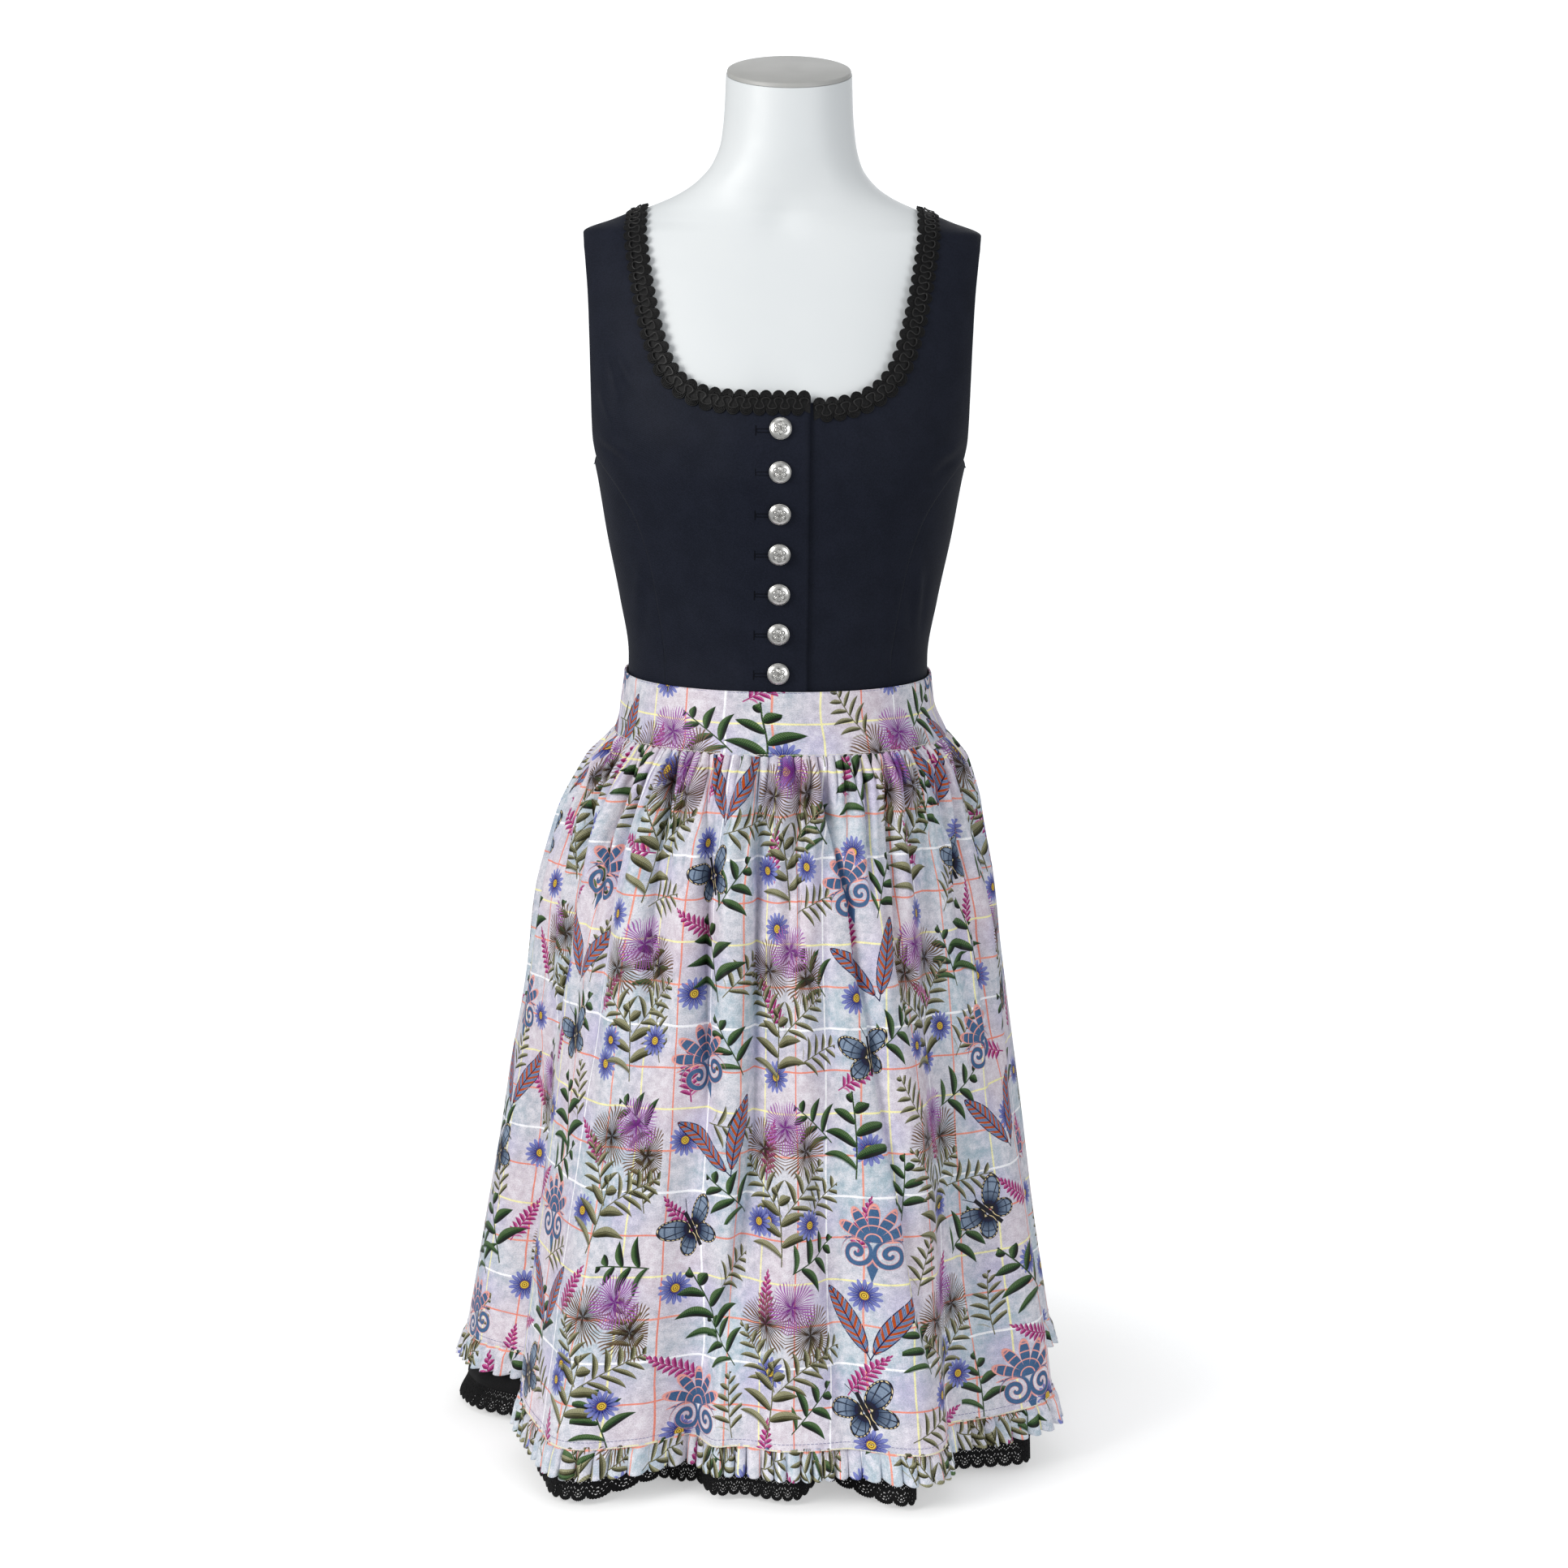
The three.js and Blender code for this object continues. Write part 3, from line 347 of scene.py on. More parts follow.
PLATE_TOP = 10
TUBE_BOTTOM, TUBE_TOP = PLATE_TOP + SEAM, FORM_BOTTOM - SEAM
PLATE = [(0, 0), (134, 0), (135, 1), (135, 7), (134.4, 8.6), (133, 9.6), (131, PLATE_TOP), (0, PLATE_TOP)]
TUBE = [(0, TUBE_BOTTOM), (11.9, TUBE_BOTTOM), (12.5, 11), (12.5, 399), (11.9, TUBE_TOP), (0, TUBE_TOP)]
steel, tree, shader = finish("steel", (0.5, 0.51, 0.52), 0.32, Metallic=1.0)
tree.links.new(ramp(tree, speckle(tree, 45, 6), 0.25, 0.75, 0.24, 0.42), shader.inputs["Roughness"])
bump(tree, shader, speckle(tree, 1200, 2), 0.1, 0.0001)
for name, outline, replaced in (("base_plate", PLATE, "stand_base"), ("stand_tube", TUBE, "stand_pole")):
    bm = bmesh.new()
    corners = [bm.verts.new((r * MM, 0, z * MM)) for r, z in outline]
    edges = [bm.edges.new(pair) for pair in zip(corners, corners[1:])]
    bmesh.ops.spin(bm, geom=corners + edges, cent=(0, 0, 0), axis=(0, 0, 1), angle=math.tau, steps=96,
                   use_merge=True)
    bmesh.ops.remove_doubles(bm, verts=bm.verts, dist=1e-6)
    bmesh.ops.recalc_face_normals(bm, faces=bm.faces)
    for quad in bm.faces:
        quad.smooth = True
    turned = piece(name, bm, steel, sharp=35)
    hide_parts(replaced)

# ---- Bodice -------------------------------------------------------------------------------------
# Six panels of fine navy cotton twill, joined by shaping seams that run from the waist under the
# arm, and closed at the front with the wearer's right half on top of the left one.

CLOTH, BODICE_WALL = 1.2, 1.1
# x and z of the necklines from the centre to the shoulder, and of the armhole from the seam up
FRONT_NECKLINE = [
    (0, 811), (28, 811), (46, 811.6), (61, 814), (74, 820.5), (83.5, 832), (90, 850), (95.5, 873),
    (100, 899), (103, 920), (104, 931), (104, 938), (104, 943), (104, 946),
]
BACK_NECKLINE = [
    (0, 880), (28, 881), (52, 886), (74, 897.5), (89, 911), (98.5, 926), (102.5, 937), (104, 943),
    (104, 946),
]
NECK_HALF_WIDTH, NECK_POINT = FRONT_NECKLINE[-1]
ARMHOLE = [
    (138.5, 762), (140.4, 772), (141.2, 788), (141.6, 805), (142.1, 823), (142.8, 843), (143.8, 864),
    (145.2, 885), (147, 902), (148.3, 913), (149.1, 919.5), (149.6, 923.5), (149.9, 926), (150, 927),
]
SHOULDER = 915  # where the cloth turns over the shoulder
# z, and x of the front and the back shaping seam
SHAPING_SEAM = [
    (572, 84, 62), (600, 85, 64), (640, 89, 70), (680, 96, 80), (715, 107, 96), (743, 124, 118),
    (754, 133, 130), (762, 138.5, 138.5),
]
# Heights up the centre edges: with the neckline, a row for each row of seam and armhole.
CENTRE_FRONT = [572, 601, 644, 690, 732, 765, 789]
CENTRE_BACK = [572, 601, 643, 686, 722, 748, 768, 786, 803, 820, 838, 858]
OVERLAP_EDGE, UNDERLAP_EDGE, OVERLAP_LIFT, LEFT_NECK_DROP = 22, -12, 2.8, 5
HALF_DIP, SIDE_DIP, SIDE_LAP = 0.24, 0.26, 1.2  # how the edges sink in at a shaping seam
# Soft creases in the cloth: from x, z to x, z, half width and height (a groove is negative).
CREASES = [
    (-124, 845, -108, 812, 4, 2.1), (-129, 838, -119, 800, 3, -1.68), (-134, 815, -122, 782, 3.5, 1.68),
    (-136, 778, -104, 764, 4, 1.68), (-134, 770, -108, 752, 3, -1.47), (136, 774, 110, 762, 4, 1.68),
    (134, 764, 112, 750, 3, -1.47), (104, 688, 107, 640, 3, 1.47), (110, 676, 108, 622, 2.6, -1.26),
    (98, 668, 101, 622, 2.6, -1.05), (-102, 690, -108, 640, 3, 1.26), (-96, 668, -104, 616, 2.6, -1.05),
    (-58, 690, -30, 650, 9, 1.05), (-70, 650, -38, 600, 8, 1.05), (-52, 640, -26, 598, 7, -0.84),
    (66, 660, 44, 602, 9, 1.05), (84, 640, 70, 598, 6, 1.05), (0, 742, -60, 752, 10, 0.84),
]


def angle_of_x(face, x, z):
    """Degrees round from the centre front of the torso's point at x and z."""
    share = np.minimum(1, np.abs(x) / curve(TORSO, HALF_WIDTH, z))
    angle = np.degrees(np.arcsin(share ** (curve(TORSO, POWER, z) / 2)))
    return np.sign(x) * (angle if face < 0 else 180 - angle)


def pushed_out(points, across, upward, distance):
    """Points moved square to two directions in their surface, away from the body."""
    normal = np.cross(across, upward)
    outward = np.stack((points[:, 0], points[:, 1], np.where(points[:, 2] > SHOULDER, 60.0, 0.0)), -1)
    normal *= np.sign((normal * outward).sum(-1) + 1e-12)[:, None]
    normal /= np.maximum(1e-9, np.linalg.norm(normal, axis=-1))[:, None]
    return points + normal * np.asarray(distance).reshape(-1, 1)


def lifted(surface, u, v, distance, step=0.002):
    """Points of surface(u, v), pushed out by a distance."""
    across = surface(np.minimum(1, u + step), v) - surface(np.maximum(0, u - step), v)
    upward = surface(u, np.minimum(1, v + step)) - surface(u, np.maximum(0, v - step))
    return pushed_out(surface(u, v), across, upward, distance)


def creased(points):
    """How far the creases lift each point of the front."""
    x, z = points[:, 0], points[:, 2]
    height = 0 * x
    for x0, z0, x1, z1, width, rise in CREASES:
        length = math.hypot(x1 - x0, z1 - z0)
        along = ((x - x0) * (x1 - x0) + (z - z0) * (z1 - z0)) / length**2
        off = ((x - x0) * (z1 - z0) - (z - z0) * (x1 - x0)) / length
        ends = smooth(along, -0.1, 0.35) * (1 - smooth(along, 0.5, 1.1))
        height += rise * np.exp(-((off / width) ** 2)) * ends
    return np.where(points[:, 1] < 0, height, 0)


def overlap_lift(x):
    """How far the buttoned half stands off, to pass over the other one."""
    return OVERLAP_LIFT * smooth(x, -64, UNDERLAP_EDGE - 12)


def cut_neckline(neckline, inner_x, drop):
    """Rows of x and z along a half's neckline, which starts at inner_x and drop lower."""
    return [(mix(inner_x, NECK_HALF_WIDTH, x / NECK_HALF_WIDTH), z - drop * (1 - smooth(x, 25, 100)))
            for x, z in neckline]


def panel_surface(face, side, inner_x):
    """A front or back half, from its shaping seam and armhole to its centre edge and neckline."""
    drop = LEFT_NECK_DROP if face < 0 < side else 0
    inner = [(inner_x, z) for z in (CENTRE_FRONT if face < 0 else CENTRE_BACK)]
    inner += cut_neckline(FRONT_NECKLINE if face < 0 else BACK_NECKLINE, inner_x, drop)
    outer = [(row[1 if face < 0 else 2] - 0.03, row[0]) for row in SHAPING_SEAM] + ARMHOLE[1:]
    rows = []
    for i, pair in enumerate(zip(outer, inner)):
        (outer_angle, outer_z), (inner_angle, inner_z) = (
            (angle_of_x(face, np.float64(x), z), z) for x, z in pair)
        rows.append((i, outer_angle, outer_z, inner_angle, inner_z))
    last = len(rows) - 1

    def surface(u, v):
        outer_angle, outer_z, inner_angle, inner_z = (curve(rows, k, v * last) for k in (1, 2, 3, 4))
        points = skin_round(side * mix(outer_angle, inner_angle, u), mix(outer_z, inner_z, u))
        points[:, 1] += face * SEAM / 2 * smooth(points[:, 2], 922, 927)
        return points

    return surface


def side_surface(side):
    """A side panel, from the front shaping seam under the arm to the back one."""
    last = len(SHAPING_SEAM) - 1
    rows = [(i, *row) for i, row in enumerate(SHAPING_SEAM)]

    def surface(u, v):
        z = curve(rows, 1, v * last)
        front = angle_of_x(-1, curve(rows, 2, v * last) - SIDE_LAP, z)
        back = angle_of_x(1, curve(rows, 3, v * last) - SIDE_LAP, z)
        return skin_round(side * mix(front, back, u), z - 9 * np.sin(np.pi * u) * smooth(v, 0.8, 1))

    return surface


def grain_group():
    """Fine diagonal twill. Its outputs are a height and a tone, both about 0.5."""
    group = bpy.data.node_groups.new("twill_grain", "ShaderNodeTree")
    for label, kind in (("Vector", "NodeSocketVector"), ("Threads", "NodeSocketFloat")):
        group.interface.new_socket(label, in_out="INPUT", socket_type=kind)
    for label in ("Height", "Tone"):
        group.interface.new_socket(label, in_out="OUTPUT", socket_type="NodeSocketFloat")
    given = node(group, "NodeGroupInput")
    lines = node(group, "ShaderNodeTexWave", {"Vector": given.outputs[0], "Scale": given.outputs[1],
                                             "Distortion": 1.2, "Detail": 1.0, "Detail Scale": 1.5},
                 bands_direction="DIAGONAL")
    fibre = speckle(group, 900, 2, given.outputs[0])
    cloud = speckle(group, 55, 4, given.outputs[0])
    out = node(group, "NodeGroupOutput")
    for i, (strong, weak) in enumerate(((lines.outputs["Fac"], fibre), (fibre, cloud))):
        added = calc(group, "MULTIPLY", weak, 0.4)
        group.links.new(calc(group, "MULTIPLY_ADD", strong, 0.6, added), out.inputs[i])
    return group


TWILL = grain_group()


def twill(tree, threads, vector=None):
    """Places the twill group and returns its height and tone."""
    place = vector or node(tree, "ShaderNodeTexCoord").outputs["Object"]
    made = node(tree, "ShaderNodeGroup", node_tree=TWILL)
    tree.links.new(place, made.inputs[0])
    made.inputs[1].default_value = threads
    return made.outputs


THREADS = 420  # the twill's scale


def dark_cloth(name, low, high, roughness, sheen):
    """Dark cotton twill whose colour goes from low to high."""
    made, tree, shader = finish(name, low, roughness, Sheen_Weight=sheen, Sheen_Roughness=0.4,
                                Specular_IOR_Level=0.13)
    height, tone = twill(tree, THREADS)
    colour_by(tree, shader, ramp(tree, tone, 0.35, 0.65), low, high)
    bump(tree, shader, height, 0.35, 0.00025)
    return made


def below_arm(points):
    """1 where the shaping seams run down the front and back, 0 under the arm."""
    return 1 - smooth(points[:, 2], 715, 745)


navy_twill = dark_cloth("navy_twill", (0.006, 0.008, 0.016), (0.01, 0.0125, 0.0235), 0.62, 0.025)
halves = [
    # name, face, side, x of the centre edge, and the lift over the other half
    ("bodice_front_right", -1, -1, -OVERLAP_EDGE, overlap_lift),
    ("bodice_front_left", -1, 1, UNDERLAP_EDGE, None),
    ("bodice_back_right", 1, -1, SEAM / 2, None),
    ("bodice_back_left", 1, 1, SEAM / 2, None),
]
for name, face, side, inner_x, lift in halves:
    flat = panel_surface(face, side, inner_x)

    def cloth(u, v, flat=flat, lift=lift):
        points = flat(u, v)
        dip = HALF_DIP * (1 - smooth(u, 0, 0.022)) * below_arm(points)
        return lifted(flat, u, v, CLOTH + creased(points) - dip + (lift(points[:, 0]) if lift else 0))

    panel = sheet(name + "_cloth", 56, 120, cloth, navy_twill, thick=BODICE_WALL)
    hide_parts(name)
for name, side in (("bodice_side_right", -1), ("bodice_side_left", 1)):
    flat = side_surface(side)

    def cloth(u, v, flat=flat):
        points = flat(u, v)
        dip = SIDE_DIP * (2 - smooth(u, 0, 0.04) - smooth(1 - u, 0, 0.04)) * below_arm(points)
        return lifted(flat, u, v, CLOTH - 0.1 + creased(points) - dip)

    panel = sheet(name + "_cloth", 48, 70, cloth, navy_twill, thick=BODICE_WALL)
    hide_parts(name)

# ---- Neck braid -----------------------------------------------------------------------------------
# A black gimp braid, 15 mm wide: fans of cord side by side along both edges, and a thin cord
# that winds from each fan to the next. It is sewn on along the neckline.

BRAID_WIDTH, BRAID_PAST, BRAID_PITCH = 14.5, 1.5, 9.2
FAN_CORD, WINDING_CORD = 0.62, 0.42  # radii
FAN_RADII, FAN_TURN, FAN_RISE = (4.05, 3.0, 1.95, 0.95), 104, 0.75
INNER_FANS, OUTER_FANS = 2.9, 3.9  # how far the fans' centres lie from the braid's edges
# From this height the braid goes over the shoulder, whose slope this is in x and z
CREST_FROM, CREST_OUT = 922, (0.924, -0.382)


def neck_path(side, cloth_edge, start_x):
    """Rows of run, x and z along one side's neckline, and the run at which the back begins."""
    cut = cut_neckline(FRONT_NECKLINE, cloth_edge, LEFT_NECK_DROP if side > 0 else 0)
    start_z = float(np.interp(start_x, [x for x, _ in cut[:9]], [z for _, z in cut[:9]]))
    front = [(-1, start_x, start_z)] + [(-1, x, z) for x, z in cut if x > start_x + 2]
    back = [(1, max(x, SEAM / 2), z) for x, z in BACK_NECKLINE[-2::-1]]
    run, rows = 0.0, []
    for i, (face, x, z) in enumerate(front + back):
        if i:
            was = (front + back)[i - 1]
            here = skin(face, np.float64(side * x), np.float64(z))
            there = skin(1 if i == len(front) else was[0], np.float64(side * was[1]), np.float64(was[2]))
            run += float(np.linalg.norm(here - there))
        rows.append((run, x, z))
    return rows, rows[len(front) - 1][0]


def on_neckline(side, path, crest_run, run, across, height):
    """Points of the braid, by run along the neckline, distance from it and height, in mm."""
    def flat(run, across):
        end = path[-1][0]
        run = np.clip(run, 0, end)
        x, z = curve(path, 1, run), curve(path, 2, run)
        along_x, along_z = (curve(path, k, np.minimum(end, run + 6)) - curve(path, k, np.maximum(0, run - 6))
                            for k in (1, 2))
        face = np.where(run <= crest_run, -1.0, 1.0)
        out = np.stack((-face * along_z, face * along_x), -1)
        out /= np.maximum(1e-9, np.linalg.norm(out, axis=-1))[:, None]
        out = mix(out, np.array(CREST_OUT), smooth(z, CREST_FROM, NECK_POINT)[:, None])
        out /= np.linalg.norm(out, axis=-1)[:, None]
        x, z = x + out[:, 0] * across, z + out[:, 1] * across
        return skin(face, side * x, z)

    points = flat(run, across)
    lift = overlap_lift(points[:, 0]) if side < 0 else 0 * points[:, 0]
    return pushed_out(points, flat(run + 1, across) - flat(run - 1, across),
                      flat(run, across + 0.5) - flat(run, across - 0.5), CLOTH + lift + height)


def cords(name, lines, radius, material):
    """A mesh of round cords along lists of points, in mm."""
    data = bpy.data.curves.new(name, "CURVE")
    data.dimensions = "3D"
    data.bevel_depth = radius * MM
    data.bevel_resolution = 1
    data.use_fill_caps = True
    for line in lines:
        spline = data.splines.new("POLY")
        spline.points.add(len(line) - 1)
        spline.points.foreach_set("co", np.column_stack((line * MM, np.ones(len(line)))).ravel())
    drawn = bpy.data.objects.new(name + "_line", data)
    scene.collection.objects.link(drawn)
    mesh = bpy.data.meshes.new_from_object(drawn.evaluated_get(bpy.context.evaluated_depsgraph_get()))
    bpy.data.objects.remove(drawn)
    bm = bmesh.new()
    bm.from_mesh(mesh)
    bpy.data.meshes.remove(mesh)
    for quad in bm.faces:
        quad.smooth = True
    return piece(name, bm, material)


braid_cord, tree, shader = finish("braid_cord", (0.009, 0.009, 0.0095), 0.55, Specular_IOR_Level=0.22)
strand = speckle(tree, 1100, 2)
colour_by(tree, shader, ramp(tree, strand, 0.35, 0.7), (0.0028, 0.0028, 0.003), (0.0115, 0.0115, 0.012))
bump(tree, shader, strand, 0.5, 0.0004)
# The winding cord's extra shine is real, and its colour, lighter than the fans', is a painted highlight along
# it.
winding_cord_painted_highlight, tree, shader = finish("winding_cord_painted_highlight", (0.03, 0.029, 0.03), 0.45, Specular_IOR_Level=0.35)
strand = speckle(tree, 1500, 2)
colour_by(tree, shader, ramp(tree, strand, 0.35, 0.65), (0.008, 0.0078, 0.0078), (0.03, 0.029, 0.029))
for name, side, cloth_edge, start_x in (
    ("right", -1, -OVERLAP_EDGE, -OVERLAP_EDGE), ("left", 1, UNDERLAP_EDGE, OVERLAP_EDGE + 2),
):
    path, crest_run = neck_path(side, cloth_edge, start_x)
    end = path[-1][0]
    count = round(end / BRAID_PITCH)
    pitch = end / count
    inner_edge, outer_edge = -BRAID_PAST, BRAID_WIDTH
    fans = []
    turn = np.radians(np.linspace(-FAN_TURN, FAN_TURN, 10))
    for i in range(count):
        for radius in FAN_RADII:
            rise = FAN_RISE + 0.16 * (FAN_RADII[0] - radius) + 0 * turn
            run, across = i * pitch + radius * np.sin(turn), radius * np.cos(turn)
            fans.append(on_neckline(side, path, crest_run, run + 0.5 * pitch,
                                    inner_edge + INNER_FANS - across, rise))
            if i:
                fans.append(on_neckline(side, path, crest_run, run, outer_edge - OUTER_FANS + across, rise))
    t = np.linspace(0.25, count - 0.25, 22 * count)
    middle = 0.5 * (inner_edge + outer_edge)
    winding = on_neckline(side, path, crest_run, pitch * t + 1.9 * np.sin(2 * math.tau * t),
                          middle + 4.0 * np.cos(math.tau * t), 2.0 + 0.35 * np.cos(2 * math.tau * t))
    braid = cords(f"neck_braid_{name}_fans", fans, FAN_CORD, braid_cord)
    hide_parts(f"neck_braid_{name}")
    wound = cords(f"neck_braid_{name}_winding", [winding], WINDING_CORD, winding_cord_painted_highlight)

    def backing(u, v, side=side, path=path, crest_run=crest_run, end=end):
        scallop = 0.8 * np.cos(math.tau * v * end / pitch)
        across = mix(inner_edge + 2.4 + scallop, outer_edge - 2.2 + scallop, u)
        return on_neckline(side, path, crest_run, v * end, across, 0.35 + 0 * u)

    ribbon = sheet(f"neck_braid_{name}_ribbon", 3, 6 * count, backing, braid_cord)
    end * MM

# ---- Buttons --------------------------------------------------------------------------------------
# Seven cast buttons of antique silver, 17 mm across: a plain rim round a low dome with a flower,
# darkened in its hollows. Each has a sewn buttonhole beside it, most of which it covers.

BUTTON_RADIUS, BUTTON_HEIGHT, BUTTON_RIM, BUTTON_EDGE = 8.5, 5.0, 1.4, 0.6
BUTTONS, BUTTON_X, BUTTON_TOP, BUTTON_PITCH = 7, 0.5, 787, 30.6
HOLE_X, HOLE_END_X, HOLE_BELOW, HOLE_THREAD = -11.5, -17.6, 1.5, 0.34
antique_silver, tree, shader = finish("antique_silver", (0.6, 0.59, 0.56), 0.3, Metallic=1.0)
relief = node(tree, "ShaderNodeAttribute", attribute_name="relief").outputs["Fac"]
worn = calc(tree, "ADD", relief, ramp(tree, speckle(tree, 420, 4), 0.3, 0.75, -0.2, 0.12), clamp=True)
colour_by(tree, shader, worn, (0.07, 0.066, 0.06), (0.83, 0.82, 0.79))
tree.links.new(ramp(tree, worn, 0, 1, 0.55, 0.26), shader.inputs["Roughness"])
bump(tree, shader, speckle(tree, 1600, 3), 0.12, 0.0002)


def rosette(r, angle):
    """How much of the metal stands up at a spot of the button: 1 on dome and petals, 0 in the lines."""
    share = r / BUTTON_RADIUS
    reach = 0.3 + 0.27 * np.abs(np.cos(3 * angle)) ** 0.8
    groove = np.exp(-(((share - reach) / 0.035) ** 2)) * smooth(share, 0.2, 0.3)
    between = np.exp(-((np.cos(3 * angle) * share / 0.045) ** 2)) * (1 - smooth(share, 0.28, 0.4))
    vein = (0.7 * np.exp(-((np.sin(3 * angle) * share / 0.03) ** 2))
            * smooth(share, 0.2, 0.28) * (1 - smooth(share, 0.42, 0.5)))
    ring = np.exp(-(((share - 0.14) / 0.03) ** 2)) + 0.75 * np.exp(-(((share - 0.9) / 0.025) ** 2))
    return 1 - np.minimum(1, np.maximum.reduce([groove, between, vein, ring]))


for i in range(BUTTONS):
    name = f"button_{i + 1}"
    z = BUTTON_TOP - BUTTON_PITCH * i
    below, above = (skin(-1, np.float64(BUTTON_X), np.float64(z + step))
                    for step in (-BUTTON_RADIUS, BUTTON_RADIUS))
    outward = Vector((0, below[2] - above[2], above[1] - below[1])).normalized()
    corners = [vert.co.copy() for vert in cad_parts[name].data.vertices]
    lowest = min(co.dot(outward) for co in corners)
    base = [co for co in corners if co.dot(outward) < lowest + 1e-4]
    seat = sum(base, Vector()) / len(base)
    rim = [co for co in base if (co - seat).length > 0.005]
    seat = (Vector(map(min, *rim)) + Vector(map(max, *rim))) / 2
    turn = Vector((0, 0, 1)).rotation_difference(outward)
    bm = bmesh.new()
    layer = bm.verts.layers.float.new("relief")
    bmesh.ops.create_grid(bm, x_segments=96, y_segments=34, size=0.5)
    for vert in bm.verts:
        angle, v = math.tau * (vert.co.x + 0.5), vert.co.y + 0.5
        if v < 0.06:  # the underside
            r, rise, stands = (BUTTON_RADIUS - BUTTON_EDGE) * v / 0.06, 0.0, 1.0
        elif v < 0.12:  # the edge
            r = BUTTON_RADIUS - BUTTON_EDGE * (0.12 - v) / 0.06
            rise, stands = BUTTON_RIM * (v - 0.06) / 0.06, 1.0
        else:  # the face
            r = BUTTON_RADIUS * (1 - v) / 0.88
            stands = float(rosette(np.float64(r), np.float64(angle)))
            dome = math.sqrt(max(0, 1 - (r / BUTTON_RADIUS) ** 2))
            rise = BUTTON_RIM + (BUTTON_HEIGHT - BUTTON_RIM) * dome - 0.3 * (1 - stands)
        vert[layer] = stands
        vert.co = seat + turn @ (Vector((r * math.sin(angle), r * math.cos(angle), rise)) * MM)
    bmesh.ops.remove_doubles(bm, verts=bm.verts, dist=1e-6)
    bmesh.ops.recalc_face_normals(bm, faces=bm.faces)
    for quad in bm.faces:
        quad.smooth = True
    button = piece(f"silver_{name}", bm, antique_silver, sharp=60)
    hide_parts(name)

thread_navy, tree, shader = finish("thread_navy", (0.003, 0.0036, 0.007), 0.8, Specular_IOR_Level=0.12)
bump(tree, shader, speckle(tree, 2200, 1), 0.4, 0.0003)
holes = []


def on_front(x, z, height, step=0.5):
    """Points on the buttoned front's outer face, by x and z."""
    return pushed_out(skin(-1.0, x, z), skin(-1.0, x + step, z) - skin(-1.0, x - step, z),
                      skin(-1.0, x, z + step) - skin(-1.0, x, z - step), CLOTH + overlap_lift(x) + height)


turn = np.radians(np.arange(0, 361, 20))
bar = np.linspace(-3.6, 3.6, 9)
for i in range(BUTTONS):
    level = BUTTON_TOP - HOLE_BELOW - BUTTON_PITCH * i
    x = HOLE_X + np.sign(np.cos(turn)) * 4.5 + 1.3 * np.cos(turn)
    holes.append(on_front(x, level + 1.2 * np.sin(turn), 0.1))
    holes.append(on_front(HOLE_END_X + 0 * bar, level + bar, 0.12))
buttonholes = cords("buttonholes", holes, HOLE_THREAD, thread_navy)

# ---- Dress skirt ----------------------------------------------------------------------------------
# Black cotton in a front and a back half, gathered into the waist behind the apron and hanging in
# deep folds, with a cotton lace that shows below its hem.

# z rising, half width, front, back, power and sideways shift of the apron's smooth envelope
SKIRT = [
    (24, 231, 238, 226, 2, -6.5), (135, 214.5, 217, 214, 2, -6.5), (240, 200.5, 196, 200, 2, -5),
    (345, 186, 176, 182, 2, -4.5), (422, 174.5, 158, 165, 2, -4.5), (473, 160.5, 141, 147, 2.03, -3.5),
    (500, 151.5, 131, 134, 2.06, -1), (525, 140.5, 118, 118, 2.1, 1.5), (538, 132.5, 110, 108, 2.13, 2.5),
    (550, 126, 103, 99, 2.16, 2.5), (572, 119.5, 98.5, 91, 2.2, 0), (590, 117.4, 97.4, 88.3, 2.2, 0),
    (600, 117, 97.2, 88, 2.2, 0),
]
SHIFT = 5  # the table's last column
# Large folds: degrees round from the centre front, mm out at the hem, and half width in degrees.
FOLDS = [
    (-92, 12, 13), (-68, -42, 16), (-46, 10, 8), (-33, 44, 15), (-15, -34, 7.5), (-4, -13, 9), (28, 38, 13),
    (41, -12, 8), (59, 31, 14), (84, -26, 18), (103, 12, 10), (119, -14, 11), (136, 16, 13), (157, -14, 11),
    (178, 14, 12), (-161, -14, 11), (-140, 16, 13), (-117, -16, 12),
]
# The same for how far the black skirt stays back behind the apron's folds
RECESSES = [(-57, 14, 14), (-23, 40, 7), (14.5, 38, 8.5), (32.5, 36, 8.5), (66, 32, 14)]
LACE_FLARES = [(-88, 7, 36)]
WAIST_SEAM, SKIRT_HEM, LACE_HEM = 572, 23, 4
FOLDS_FROM = 545  # the folds start at this height and grow down to the lace's hem
SKIRT_CLOTH, SKIRT_WALL, LACE_WALL = 2, 0.9, 0.6
BACK_GATHERS, GATHER_DEPTH, UNDER_APRON = 36, 1.6, 9


def total(folds, angle):
    """The sum of the folds' humps at an angle."""
    out = 0 * angle
    for at, reach, spread in folds:
        share = np.abs((angle - at + 180) % 360 - 180) / spread
        out += np.where(share < 1, reach * np.cos(share * np.pi / 2) ** 2, 0)
    return out


def growth(z):
    """The share of its reach that a fold has at a height."""
    return np.maximum(0, (FOLDS_FROM - z) / (FOLDS_FROM - LACE_HEM)) ** 1.25


